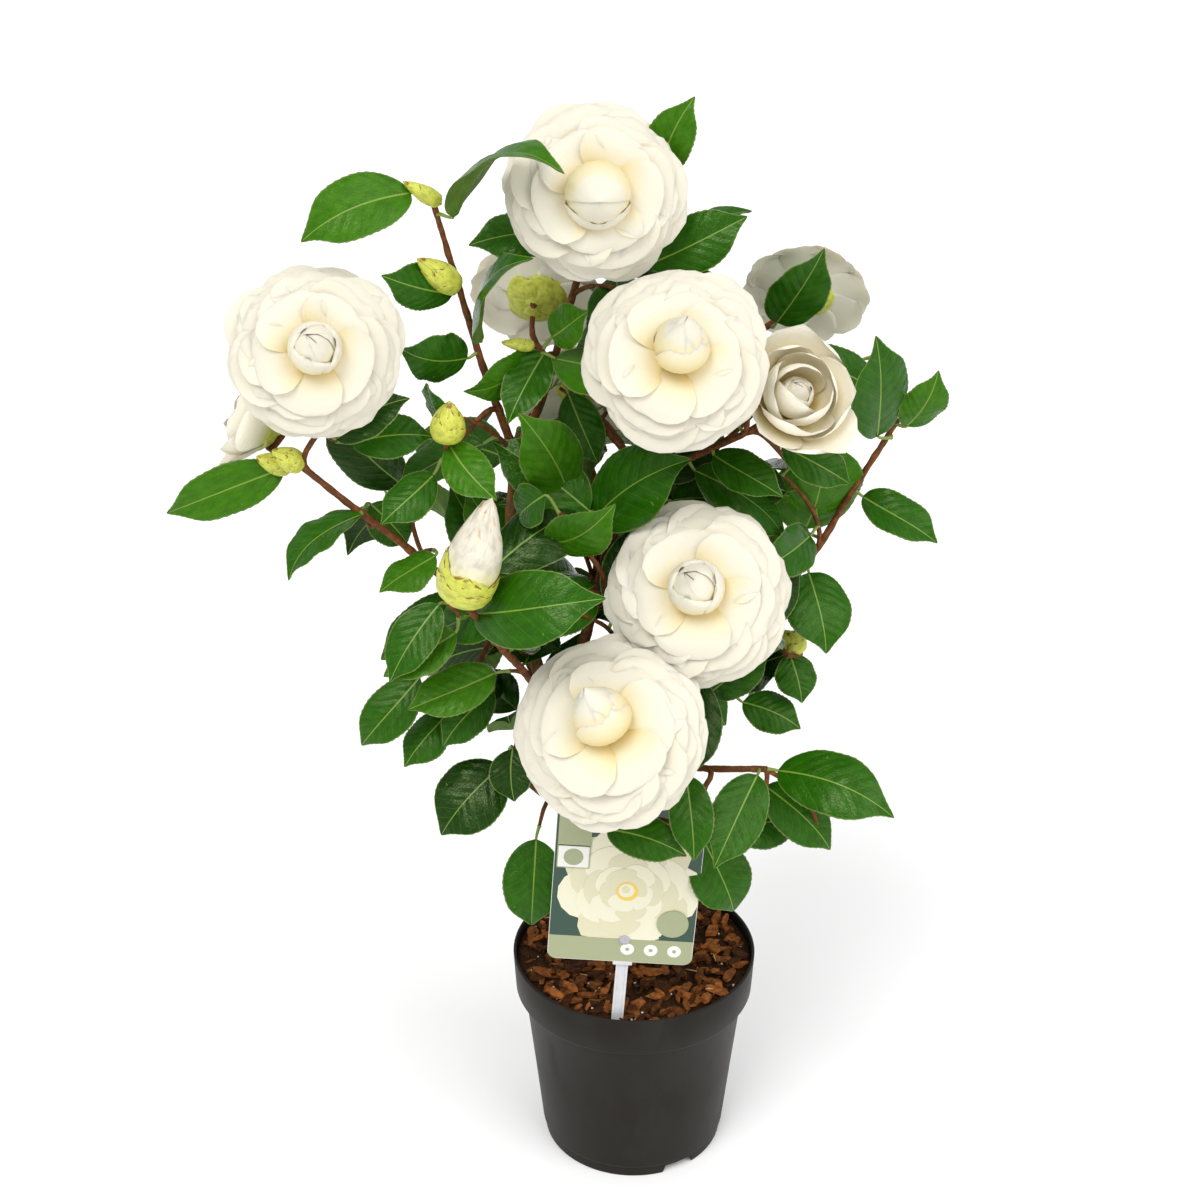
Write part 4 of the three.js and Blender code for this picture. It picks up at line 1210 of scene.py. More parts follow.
def make_label_card(settings):
    """The card with its picture of a flower, its band, tab, roundel and three plain rings."""
    half_w, half_h = settings.width / MM / 2, settings.height / MM / 2
    corner = settings.corner / MM
    bunch = Bunch()
    add_plate(bunch, settings, rounded_box(-half_w, half_w, -half_h, half_h, corner),
              -CARD_HALF, CARD_HALF, 0)
    band = -half_h + CARD_BAND
    left, right = -half_w + 0.3, half_w - 0.3
    low, high = band, half_h - 0.3
    picture = [(left, low), (right, low), *arc((right - 4, high - 4), 4, 0, 90),
               *arc((left + 4, high - 4), 4, 90, 180)]
    add_plate(bunch, settings, picture, CARD_HALF, 0.53, 1)
    foot = [*arc((left + 4, -half_h + 4.3), 4, 180, 270), *arc((right - 4, -half_h + 4.3), 4, 270, 360),
            (right, band), (left, band)]
    add_plate(bunch, settings, foot, CARD_HALF, 0.55, 2)
    flower_x, flower_z = 1.0, -6.0
    random = np.random.default_rng(4)
    for k in range(PRINTED_PETALS):
        inner = k / (PRINTED_PETALS - 1)
        turn = k * GOLDEN_ANGLE
        reach = (51 - 38 * inner) * (1.0 if abs(math.cos(turn)) < 0.7 else 0.88)
        half = 18.0 - 10.0 * inner + random.uniform(-1, 1)
        shape = clipped(printed_petal(flower_x, flower_z, turn, reach, half), left, right, low, high)
        add_plate(bunch, settings, shape, 0.5, 0.62 + 0.035 * k, 3 + k % 2)
    top = 0.62 + 0.035 * PRINTED_PETALS
    for k, (radius, slot) in enumerate(((6.4, 5), (4.6, 3), (2.4, 4))):
        add_plate(bunch, settings, disc(flower_x - 0.5 * k, flower_z + 0.6 * k, radius, 20), 0.6,
                  top + 0.05 * k, slot)
    add_plate(bunch, settings, disc(right - 13, band + 12.5, 9.2), 0.6, top, 2)
    tab = (left + 1.2, left + 20)
    add_plate(bunch, settings, rounded_box(*tab, 23, 48, 0.6, 2), 0.6, top, 2)
    add_plate(bunch, settings, rounded_box(*tab, 8, 23.5, 0.6, 2), 0.6, top, 2)
    inset = rounded_box(tab[0] + 0.7, tab[1] - 0.7, 8.7, 22.6, 0.4, 2)
    add_plate(bunch, settings, inset, 0.6, top + 0.05, 0)
    add_plate(bunch, settings, disc((tab[0] + tab[1]) / 2, 15.6, 5.6), 0.6, top + 0.1, 2)
    for k in range(3):
        add_plate(bunch, settings, disc(4.0 + 13.6 * k, -half_h + 9.2, 4.0), 0.5, 0.66, 0)
        add_plate(bunch, settings, disc(4.0 + 13.6 * k, -half_h + 9.2, 1.2, 16), 0.5, 0.70, 2)
    materials = [
        print_material("card_white", (0.80, 0.79, 0.74)),
        print_material("card_leaf_green", tuple(settings.night)),
        print_material("card_sage", tuple(settings.sage)),
        print_material("card_petal_cream", (0.76, 0.73, 0.55)),
        print_material("card_petal_shade", (0.66, 0.62, 0.42)),
        print_material("card_yellow", (0.78, 0.55, 0.08)),
    ]
    return join_frame(bunch.piece("label_print", materials, 30), ["label_card"])


def make_label_stick(settings):
    """A clear-grey plastic stake with a raised edge, and a bar under the card."""
    low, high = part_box("label_stick")
    middle = card_middle()
    bottom, top = low.z / MM - middle[2], high.z / MM - middle[2]
    bunch = Bunch()
    section = [(-3.5, -0.8), (3.5, -0.8), (3.5, 0.8), (2.3, 0.8), (2.1, 0.3), (-2.1, 0.3), (-2.3, 0.8),
               (-3.5, 0.8)]
    card_back = -CARD_HALF - 0.35 - 0.8
    heights = [bottom, bottom + 6, -settings.height / MM / 2, top - 1, top]
    narrow = [0.35, 1, 1, 1, 0.8]
    points = [on_card(settings, 2 + x * w, card_back + d, z)
              for z, w in zip(heights, narrow) for x, d in section]
    count = len(section)
    first = np.arange(count)
    after = np.roll(first, -1)
    walls = np.concatenate([
        np.stack([first, after, after + count, first + count], axis=1) + k * count
        for k in range(len(heights) - 1)])
    bunch.add(points, [(walls, 0), ([first[::-1]], 0), ([first + (len(heights) - 1) * count], 0)])
    edge = -settings.height / MM / 2
    add_plate(bunch, settings, rounded_box(-3.6, 7.6, edge - 2.4, edge + 0.8, 0.5, 3),
              card_back - 0.6, 0.4, 0)
    material, tree, shader = finish_of("stake_plastic", (0.62, 0.62, 0.63), 0.3)
    shader.inputs["Subsurface Weight"].default_value = 0.2
    shader.inputs["Subsurface Radius"].default_value = (0.004, 0.004, 0.004)
    cloud = noise(tree, object_place(tree), 160.0)
    tree.links.new(shade_between(tree, (0.50, 0.50, 0.52), (0.68, 0.68, 0.69), cloud),
                   shader.inputs["Base Color"])
    piece = bunch.piece("label_stake", [material], 30)
    only(piece)
    bpy.ops.object.mode_set(mode="EDIT")
    bpy.ops.mesh.select_all(action="SELECT")
    bpy.ops.mesh.normals_make_consistent(inside=False)
    bpy.ops.object.mode_set(mode="OBJECT")
    return join_frame(piece, ["label_stick"])


def make_label_button():
    """The domed end of the stake's rivet, turned from its half section."""
    low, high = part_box("label_button")
    middle = (np.array(low) + np.array(high)) / 2
    outline = [(0, -0.6), (2.9, -0.6), *arc((2.8, -0.2), 0.4, -90, 60, 4), (2.2, 0.45), (1.6, 0.62),
               (1.1, 0.45), (0, 0.4)]
    piece = spun(profile_piece("label_rivet", outline), 32)
    piece.rotation_euler = (math.radians(90), 0, 0)
    piece.location = middle
    material, _tree, _shader = finish_of("rivet_plastic", (0.40, 0.39, 0.44), 0.28)
    return settle(piece, material, "label_button", 40)


# ---------------------------------------------------------------- wood
def bark_relief(radius, height, seed):
    """Ridges that wander round a limb, with a swelling at each old leaf scar."""
    random = np.random.default_rng(seed)
    shift = random.uniform(0, FULL_TURN, 5)
    scars = np.cumsum(random.uniform(15, 30, 40))

    def relief(turns, along):
        ridges = (0.5 * np.sin(5 * turns + 0.10 * along + shift[0])
                  + 0.35 * np.sin(3 * turns - 0.23 * along + shift[1])
                  + 0.35 * np.sin(2 * turns + 0.55 * along + shift[2])
                  + 0.25 * np.sin(7 * turns + 0.9 * along + shift[3]))
        near = np.abs(scars - along).min()
        which = int(np.abs(scars - along).argmin())
        side = 0.5 + 0.5 * np.cos(turns - which * GOLDEN_ANGLE)
        return height * (radius / 5) * ridges + 0.16 * radius * side ** 2 * math.exp(-(near / 2.2) ** 2)

    return relief


def make_limbs(settings, growth):
    bunch = Bunch()
    for seed, (name, (parent, _at, _via, root, tip)) in enumerate(LIMBS.items()):
        path = growth.limbs[name]
        part = np.linspace(0, 1, len(path))
        radii = root + (tip - root) * part
        if parent is None:
            radii = radii + 4.5 * np.exp(-9 * part)
        else:
            radii = radii + 0.35 * root * np.exp(-16 * part)
        radii = radii * (0.96 if parent is None else 0.84)
        age = np.clip((radii - 2.0) / 2.6, 0, 1)
        sides = 18 if root > 3.9 else 12
        tube(bunch, path, radii, sides, 0, age, bark_relief(root, settings.relief / MM, seed))
    piece = bunch.piece("limbs", [bark_material(settings)], 80)
    return join_frame(piece, list(LIMBS))


def make_twigs(settings, growth):
    bunch = Bunch()
    thin = settings.twig / MM / 1.3
    for seed, (path, root, tip) in enumerate(growth.twigs):
        part = np.linspace(0, 1, len(path))
        radii = (root + (tip - root) * part) * thin
        tube(bunch, path, radii, 8, 0, 0.0, bark_relief(root, settings.relief / MM, 100 + seed))
    material = bpy.data.materials["camellia_bark"]
    return join_frame(bunch.piece("twigs", [material], 80), [])


def make_stalks(settings, growth):
    bunch = Bunch()
    radius = settings.stalk / MM
    for path in growth.stalks:
        radii = radius * np.linspace(1.35, 0.9, len(path))
        radii[0] *= 1.25
        tube(bunch, path, radii, 7)
    return join_frame(bunch.piece("leaf_stalks", [stalk_material()], 80), [])


# ---------------------------------------------------------------- leaves
LEAF_ROWS = 20
LEAF_CELLS = (4, 2)
TINTS = ("deep", "green", "bright", "fresh")
GLOSS = (0.28, 0.26, 0.22, 0.18)
UNDER, RIB, EDGE = 4, 5, 6


def leaf_half_width(s):
    """A leaf's outline: round at the foot, widest before the middle, with a drawn-out tip."""
    shape = (s ** 0.60) * ((1 - s) ** 0.72)
    shape = shape / ((0.60 / 1.32) ** 0.60 * (0.72 / 1.32) ** 0.72)
    t = np.clip((s - 0.72) / 0.24, 0, 1)
    return shape * (1 - 0.52 * t * t * (3 - 2 * t))


def add_leaf(bunch, settings, foot, tip, looks, spec, tint, random):
    """A blade folded along its rib, arched along its length and turned down at its edge."""
    length_of = np.linalg.norm(tip - foot)
    along = (tip - foot) / length_of
    normal = turned(square_to(looks, along), along, math.radians(spec["roll"]))
    across = np.cross(along, normal)
    width = spec["width"] or np.clip(settings.slimness * length_of, 24, 42)
    arch = (spec["arch"] if spec["arch"] is not None else random.uniform(0.05, 0.12)) * length_of
    fold = math.tan(settings.fold * random.uniform(0.4, 1.5))
    drop = random.uniform(0.28, 0.55)
    twist = random.uniform(-0.35, 0.35)
    tip_bend = random.uniform(0.0, 0.07) * length_of
    sway = random.uniform(-0.05, 0.05) * length_of
    phase, waves = random.uniform(0, FULL_TURN), random.uniform(1.6, 3.2)

    t = np.linspace(0, 1, LEAF_ROWS + 1)
    s = t - 0.06 * np.sin(2 * math.pi * t)
    half = np.maximum(width / 2 * leaf_half_width(s), 0.5)
    half[-1] = 0.18
    rib = np.minimum(0.5 - 0.32 * s, 0.3 * half)
    edge = np.minimum(0.42, 0.25 * half)
    x = np.stack([half, half - edge, 0.5 * half, rib, -rib, -0.5 * half, edge - half, -half], axis=1)
    rise = arch * 4 * s * (1 - s) * (0.75 + 0.5 * s) - tip_bend * s ** 5 + tip_bend * s
    bow = sway * 4 * s * (1 - s)
    slope = np.arctan(np.gradient(rise, s * length_of))
    up = np.cos(slope)[:, None] * normal - np.sin(slope)[:, None] * along
    turn = (twist * (s - 0.2))[:, None]
    side = np.cos(turn) * across + np.sin(turn) * up
    up = np.cos(turn) * up - np.sin(turn) * across
    spine = foot + (s * length_of)[:, None] * along + rise[:, None] * normal + bow[:, None] * across
    reach = np.abs(x) / (width / 2)
    lift = (np.abs(x) * fold - drop * (width / 2) * reach ** 2.4
            + 1.2 * reach ** 3 * np.sin(waves * 2 * math.pi * s[:, None] + phase + np.sign(x)))
    lift[:, 3:5] -= 0.25
    grid = spine[:, None] + x[..., None] * side[:, None] + lift[..., None] * up[:, None]
    depth = np.full(x.shape, settings.thickness / MM)
    depth[:, 3:5] += (1.0 - 0.7 * s)[:, None]

    size = settings.tooth / MM * np.sqrt(np.sin(math.pi * np.clip((s[1:] + s[:-1]) / 2, 0.02, 0.98)))
    teeth = []
    for column, sign in ((0, 1), (-1, -1)):
        edge_line = grid[:, column]
        point = 0.3 * edge_line[:-1] + 0.7 * edge_line[1:]
        teeth.append(point + sign * size[:, None] * side[1:])
    places = np.stack([np.broadcast_to(s[:, None], x.shape), 0.5 + 0.5 * x / (width / 2)], axis=2)
    strips = [EDGE, tint, tint, RIB, tint, tint, EDGE]
    closed_sheet(bunch, grid, depth, strips, UNDER, np.clip(places, 0, 1), teeth)


def leaf_materials(settings):
    vein = tuple(settings.rib)
    made = [blade_material(f"leaf_{tint}", tuple(getattr(settings, tint)), k, LEAF_CELLS, 0.21,
                           tuple(0.7 * c for c in vein), GLOSS[k]) for k, tint in enumerate(TINTS)]
    made.append(blade_material("leaf_underside", tuple(settings.under), UNDER, LEAF_CELLS, 0.5, vein,
                               0.25))
    made.append(plain_rib("leaf_rib", vein, RIB, LEAF_CELLS))
    made.append(plain_rib("leaf_edge", tuple(0.6 * c for c in vein), EDGE, LEAF_CELLS))
    return made


def make_leaves(settings, growth):
    """All the blades, in two pieces: the ones with their own places and the ones that the
    rule adds. The higher and the further out a leaf is, the likelier it has a bright tint: partly the
    lighter green of younger growth, partly painted light on the top of the crown and painted shade on
    the leaves inside it."""
    random = np.random.default_rng(settings.seed)
    materials = leaf_materials(settings)
    fixed = sum(len(leaves) for _heart, leaves in SPRAYS.values())
    parts = (("leaves_outer", growth.leaves[:fixed]), ("leaves_inner", growth.leaves[fixed:]))
    for name, leaves in parts:
        bunch = Bunch(LEAF_CELLS)
        for foot, tip, looks, spec in leaves:
            middle = (foot + tip) / 2
            # Darker tints inside the crown and lighter ones higher up: partly the leaves' own age,
            # partly painted shade inside the crown and painted light on its top.
            inside = 1 if name == "leaves_inner" else 0
            bright = 1.15 - 0.75 * inside + random.normal(0, 0.55) + (middle[2] - 430) / 400
            tint = int(np.clip(round(bright), 0, 3))
            add_leaf(bunch, settings, foot, tip, looks, spec, tint, random)
        nodes = list(SPRAYS) if name == "leaves_outer" else []
        join_frame(bunch.piece(name, materials, 60), nodes)


# ---------------------------------------------------------------- blooms and buds
PETAL_ROWS, PETAL_COLUMNS = 10, 10
PETAL_CELLS = (4, 1)
FRONT, BACK, SPOTTED, INNER = 0, 1, 2, 3   # material slots; sepals have the first two
CUP_PETALS = 11
HALF_OPEN = 0.6

# An open bloom's rings of petals, from the outermost to the innermost: how many, then
# shares of its radius, degrees above the plane that it faces, and curve across.
OPEN_RINGS = {
    "count": (8, 8, 7, 6, 5),
    "length": (0.97, 0.93, 0.86, 0.77, 0.64),
    "half_width": (0.40, 0.41, 0.42, 0.42, 0.38),
    "start": (10, 14, 18, 22, 30),
    "end": (-26, -24, -22, -20, -12),
    "height": (-0.14, -0.115, -0.085, -0.05, -0.01),
    "cup": (0.10, 0.12, 0.14, 0.18, 0.34),
}


class BloomFrame:
    """Places a bloom's own coordinates, with its facing as the third, in the plant."""

    def __init__(self, seat, faces, spin=0.0):
        self.seat = np.array(seat, float)
        self.out = unit(faces)
        self.right = turned(square_to((1, 0, 0), self.out), self.out, spin)
        self.up = np.cross(self.out, self.right)

    def put(self, x, y, z):
        return (self.seat + x[..., None] * self.right + y[..., None] * self.up
                + z[..., None] * self.out)

    def tipped(self, lean, turn):
        """The same seat with its facing leant over."""
        way = math.cos(turn) * self.right + math.sin(turn) * self.up
        return BloomFrame(self.seat, self.out + math.tan(lean) * way)


def sheet_places(rows, columns):
    u = np.broadcast_to(np.linspace(0, 1, rows)[:, None], (rows, columns))
    v = np.broadcast_to(np.linspace(0, 1, columns)[None], (rows, columns))
    return np.stack([u, v], axis=2)


def add_petal(bunch, place, turn, look, thickness):
    """One open petal: broad, round-tipped with a shallow notch, bowed out from its foot."""
    u = np.linspace(0, 1, PETAL_ROWS + 1)[:, None]
    v = np.sin(math.pi / 2 * np.linspace(-1, 1, PETAL_COLUMNS + 1))[None]
    reach, half = look["length"], look["half_width"]
    width = half * (0.24 + 0.76 * np.sin(math.pi / 2 * np.clip(u / 0.64, 0, 1)))
    round_off = 0.40 * u ** 2 * (1 - np.sqrt(1 - 0.95 * v ** 2))
    notch = look["notch"] * u ** 6 * np.exp(-((v - look["notch_at"]) / 0.16) ** 2)
    travel = reach * (u - round_off - notch)
    x = width * v
    fine = np.linspace(0, 1, 60)
    slope = np.radians(look["start"] + (look["end"] - look["start"]) * fine ** 0.8)
    step = reach / 59
    out_line = look["seat"] + np.concatenate([[0], np.cumsum(np.cos(slope[:-1]) * step)])
    up_line = look["height"] + np.concatenate([[0], np.cumsum(np.sin(slope[:-1]) * step)])
    r = np.interp(travel, fine * reach, out_line)
    z = np.interp(travel, fine * reach, up_line)
    bend = np.interp(travel, fine * reach, slope)
    curve = look["cup"] / half * (1 - 0.35 * u)
    lift = (1 - np.cos(x * curve)) / curve
    x = np.sin(x * curve) / curve
    lift = lift + math.tan(look["roll"]) * x
    lift = lift - look["curl"] * reach * np.maximum(0, u - 0.72) ** 2 * 1.6
    lift = lift + look["ruffle"] * u ** 3 * np.sin(4.2 * v + look["phase"] + 2 * u)
    r = r - lift * np.sin(bend)
    z = z + lift * np.cos(bend)
    c, s = math.cos(turn), math.sin(turn)
    grid = place.put(r * c - x * s, r * s + x * c, z)
    depth = thickness * np.broadcast_to(1.3 - 0.6 * u, grid.shape[:2])
    places = sheet_places(PETAL_ROWS + 1, PETAL_COLUMNS + 1)
    closed_sheet(bunch, grid, depth, [FRONT] * PETAL_COLUMNS, BACK, places)


def add_wrap(bunch, place, turn, look, thickness, slots=(FRONT, BACK), rows=10, columns=10):
    """One petal or scale wrapped round an axis: its radius follows a bud's outline from
    foot to tip, and it narrows to a point or stays open. slots are for its inner side and
    its outer side."""
    u = np.linspace(0, 1, rows + 1)[:, None]
    v = np.linspace(-1, 1, columns + 1)[None]
    part = look["foot"] + (look["shut"] - look["foot"]) * u
    swell = look["radius"] * np.sin(math.pi * part ** look["belly"]) ** look["blunt"]
    swell = np.maximum(swell, look["least"])
    half_wrap = look["wrap"] * np.maximum(1 - (u ** look["taper"]), 0.03) ** 0.5
    angles = turn + half_wrap * v + look["spiral"] * u
    dip = look["dip"] * look["height"] * u ** 3 * v ** 2
    z = look["base"] + look["height"] * u - dip
    radius = swell + look["flare"] * u ** 3 * look["radius"] * (0.5 + 0.5 * v)
    x = radius * np.cos(angles)
    y = radius * np.sin(angles) * (1 - look["pinch"] * u ** 1.5)
    grid = place.put(x + 0 * z, y + 0 * z, z + 0 * x)
    depth = thickness * np.broadcast_to(1.2 - 0.4 * u, grid.shape[:2])
    places = sheet_places(rows + 1, columns + 1)
    closed_sheet(bunch, grid, depth, [slots[0]] * columns, slots[1], places)


WRAP = {
    "radius": 10.0, "foot": 0.12, "shut": 1.0, "belly": 0.8, "blunt": 0.8, "least": 0.25,
    "wrap": 1.6, "taper": 3.0, "spiral": 0.0, "dip": 0.0, "height": 20.0, "base": 0.0,
    "flare": 0.0, "pinch": 0.0,
}

# How the middle of a bloom is folded: each wrap's shape, as shares of the bloom's radius.
MIDDLES = {
    "cone": [
        dict(radius=0.30, height=0.49, wrap=1.5, shut=0.90, turn=-1.2, taper=2.0, blunt=1.0),
        dict(radius=0.28, height=0.57, wrap=1.9, shut=0.95, turn=1.1, taper=3.0, blunt=1.0),
        dict(radius=0.26, height=0.62, wrap=1.9, shut=0.97, turn=3.6, taper=4.0, blunt=1.0),
        dict(radius=0.25, height=0.66, wrap=3.12, shut=1.0, turn=1.0, taper=40.0, blunt=1.05),
    ],
    "folded": [
        dict(radius=0.345, height=0.62, wrap=1.66, shut=1.0, turn=1.57, taper=40.0),
        dict(radius=0.35, height=0.38, wrap=1.35, shut=0.70, turn=4.71, taper=9.0),
        dict(radius=0.325, height=0.585, wrap=3.12, shut=1.0, turn=4.71, taper=40.0),
    ],
    "rolled": [
        dict(radius=0.285, height=0.40, wrap=1.5, shut=0.70, turn=0.2, taper=5.0, dip=0.2),
        dict(radius=0.275, height=0.42, wrap=1.5, shut=0.73, turn=2.3, taper=5.0, dip=0.2),
        dict(radius=0.27, height=0.42, wrap=1.5, shut=0.75, turn=4.3, taper=5.0, dip=0.2),
        dict(radius=0.255, height=0.46, wrap=1.7, shut=0.88, turn=1.1, taper=4.0, spiral=0.3),
        dict(radius=0.245, height=0.47, wrap=1.7, shut=0.92, turn=3.3, taper=4.0, spiral=0.3),
        dict(radius=0.24, height=0.50, wrap=3.12, shut=1.0, turn=5.2, taper=40.0, spiral=0.3),
    ],
}


def add_cup(bunch, place, radius, thickness, random):
    """A half-open bloom's outer petals, round one another like the sides of a bowl."""
    for k in range(CUP_PETALS):
        inner = k / (CUP_PETALS - 1)
        look = {**WRAP, "radius": radius * (1.0 - 0.58 * inner), "foot": 0.04,
                "shut": 0.41 + 0.34 * inner + random.uniform(-0.02, 0.02),
                "wrap": random.uniform(1.0, 1.25) + 0.3 * inner, "taper": 3.2,
                "base": -0.12 * radius, "flare": 0.26 * (1 - inner),
                "height": radius * (0.56 + 0.34 * inner + random.uniform(-0.05, 0.05))}
        add_wrap(bunch, place, k * GOLDEN_ANGLE, look, thickness, (FRONT, BACK))


def add_rings(bunch, settings, place, radius, opened, random):
    """An open bloom's rings of petals, each set between those of the ring before."""
    turn = random.uniform(0, FULL_TURN)
    for ring, count in enumerate(OPEN_RINGS["count"]):
        turn += math.pi / count
        for k in range(count):
            look = {key: values[ring] for key, values in OPEN_RINGS.items()}
            for key in ("length", "half_width", "height"):
                look[key] *= radius
            look["length"] *= random.uniform(0.95, 1.04) * settings.fullness
            look["half_width"] *= random.uniform(0.95, 1.1)
            look["start"] += 40 * (1 - opened) + random.normal(0, 0.7)
            look["end"] += 60 * (1 - opened) + random.normal(0, 1.8)
            look["seat"] = 0.05 * radius
            look["roll"] = math.radians(3 + random.normal(0, 1.2))
            look["curl"] = random.uniform(0.0, 0.5)
            look["ruffle"] = random.uniform(0.2, 1.0)
            look["phase"] = random.uniform(0, FULL_TURN)
            look["notch"] = random.choice([0.0, 0.02, 0.05])
            look["notch_at"] = random.uniform(-0.3, 0.3)
            at = turn + 2 * math.pi * (k + random.uniform(-0.08, 0.08)) / count
            add_petal(bunch, place, at, look, settings.thickness / MM)


def add_bloom(bunch, settings, bloom, random):
    """A bloom's outer petals, as a cup or in rings, then its folded middle."""
    middle, faces, radius, kind, opened, lean, toward = bloom
    place = BloomFrame(bloom_seat(middle, faces, radius, opened), faces, random.uniform(0, FULL_TURN))
    thickness = settings.thickness / MM
    if opened < HALF_OPEN:
        add_cup(bunch, place, radius, thickness, random)
    else:
        add_rings(bunch, settings, place, radius, opened, random)
    heart = BloomFrame(place.seat, faces).tipped(math.radians(lean), math.radians(toward))
    for wrap in MIDDLES[kind]:
        look = {**WRAP, **wrap, "least": 0.3}
        look["radius"] *= radius
        look["height"] *= radius
        look["base"] = 0.02 * radius
        add_wrap(bunch, heart, look.pop("turn"), look, thickness, (INNER, INNER))


def add_calyx(bunch, bloom, random):
    """Overlapping sepals behind a bloom, from its stalk up to the backs of the petals."""
    middle, faces, radius, _kind, opened = bloom[:5]
    seat = bloom_seat(middle, faces, radius, opened)
    place = BloomFrame(seat, faces, random.uniform(0, FULL_TURN))
    size = calyx_size(radius)
    knob = {**WRAP, "radius": size * 0.5, "foot": 0.01, "wrap": 3.12, "taper": 40.0,
            "base": -size * 0.70, "height": size * 0.8}
    add_wrap(bunch, place, 0.0, knob, 0.5, (BACK, BACK), 6, 10)
    for k in range(10):
        inner = k / 9
        look = {**WRAP, "radius": size * (0.85 + 0.55 * inner), "foot": 0.03, "shut": 0.5, "wrap": 0.74,
                "taper": 2.0, "base": -size * (0.66 - 0.16 * inner), "flare": 0.10,
                "height": size * (0.34 + 0.26 * inner), "least": 1.0}
        add_wrap(bunch, place, k * GOLDEN_ANGLE, look, 0.8, (FRONT, BACK), 6, 6)


def add_bud(petals, scales, foot, tip, radius, kind, thickness, random):
    """A closed bud of overlapping scales; an opening one shows its petals above them."""
    reach = np.linalg.norm(np.subtract(tip, foot))
    place = BloomFrame(foot, np.subtract(tip, foot), random.uniform(0, FULL_TURN))
    if kind == "opening":
        for k in range(6):
            look = {**WRAP, "radius": radius * (0.96 - 0.04 * k), "shut": 0.88 + 0.02 * k,
                    "belly": 0.70, "wrap": 1.5, "base": 0.10 * reach,
                    "height": reach * (0.72 + 0.045 * k), "spiral": 0.35, "flare": 0.16}
            add_wrap(petals, place, k * GOLDEN_ANGLE, look, thickness, (FRONT, SPOTTED))
        core = {**WRAP, "radius": radius * 0.84, "belly": 0.7, "wrap": 3.12, "taper": 40.0,
                "base": 0.1 * reach, "height": reach * 0.96}
        add_wrap(petals, place, 0.0, core, thickness, (FRONT, SPOTTED))
    else:
        core = {**WRAP, "radius": radius * 0.92, "wrap": 3.12, "taper": 40.0, "height": reach * 1.03}
        add_wrap(scales, place, 0.0, core, 0.6, (FRONT, BACK), 8, 10)
    count, lowest, highest = {"flower": (8, 0.35, 1.0), "shoot": (5, 0.4, 1.0),
                              "opening": (8, 0.2, 0.44)}[kind]
    for k in range(count):
        inner = k / (count - 1)
        part = lowest + (highest - lowest) * inner
        look = {**WRAP, "radius": radius * (1.06 - 0.05 * inner), "height": reach * part,
                "shut": 0.12 + 0.87 * part, "wrap": 1.2, "taper": 2.2,
                "belly": 0.62 if kind == "opening" else 0.8}
        add_wrap(scales, place, k * GOLDEN_ANGLE, look, 0.6, (FRONT, BACK), 8, 6)


def make_blooms(settings):
    """Petals in two pieces, then sepals and bud scales together."""
    random = np.random.default_rng(settings.seed)
    thickness = settings.thickness / MM
    colours = (settings.white, settings.cream, settings.yellow)
    # The petals' backs are a lighter copy of the white: painted light, standing in for light shining
    # through the petals where they face away from the lamps.
    pale = tuple(1.22 * c for c in settings.white)
    backs = (pale, pale, (0.66, 0.66, 0.18))
    materials = [petal_material("petal_face", colours, FRONT, PETAL_CELLS, 0.5),
                 petal_material("petal_back", backs, BACK, PETAL_CELLS, 0.42),
                 scale_material("petal_spotted", tuple(settings.white), (0.66, 0.34, 0.05), SPOTTED,
                                PETAL_CELLS, 0.82, (0.80, 0.74, 0.22)),
                 # The folded middles stay cream over most of their length: partly their own tint, partly
                 # painted warm shade in the crevices of the heart.
                 petal_material("petal_inner", colours, INNER, PETAL_CELLS, 0.75)]
    scale_colour, bruise = tuple(settings.sepal), tuple(settings.bruise)
    scale_finish = [
        scale_material("sepal_inside", tuple(0.8 * c for c in scale_colour), bruise, FRONT, PETAL_CELLS),
        scale_material("sepal_outside", scale_colour, bruise, BACK, PETAL_CELLS)]
    scales = Bunch(PETAL_CELLS)
    groups = (("blooms_upper", BLOOMS[:4] + BLOOMS[6:8]), ("blooms_lower", BLOOMS[4:6] + BLOOMS[8:]))
    for name, blooms in groups:
        petals = Bunch(PETAL_CELLS)
        for bloom in blooms:
            add_bloom(petals, settings, bloom, random)
            add_calyx(scales, bloom, random)
        if name == "blooms_lower":
            for foot, tip, radius, kind in BUDS:
                add_bud(petals, scales, foot, tip, radius, kind, thickness, random)
        join_frame(petals.piece(name, materials, 60), [])
    join_frame(scales.piece("sepals_and_buds", scale_finish, 60), [])


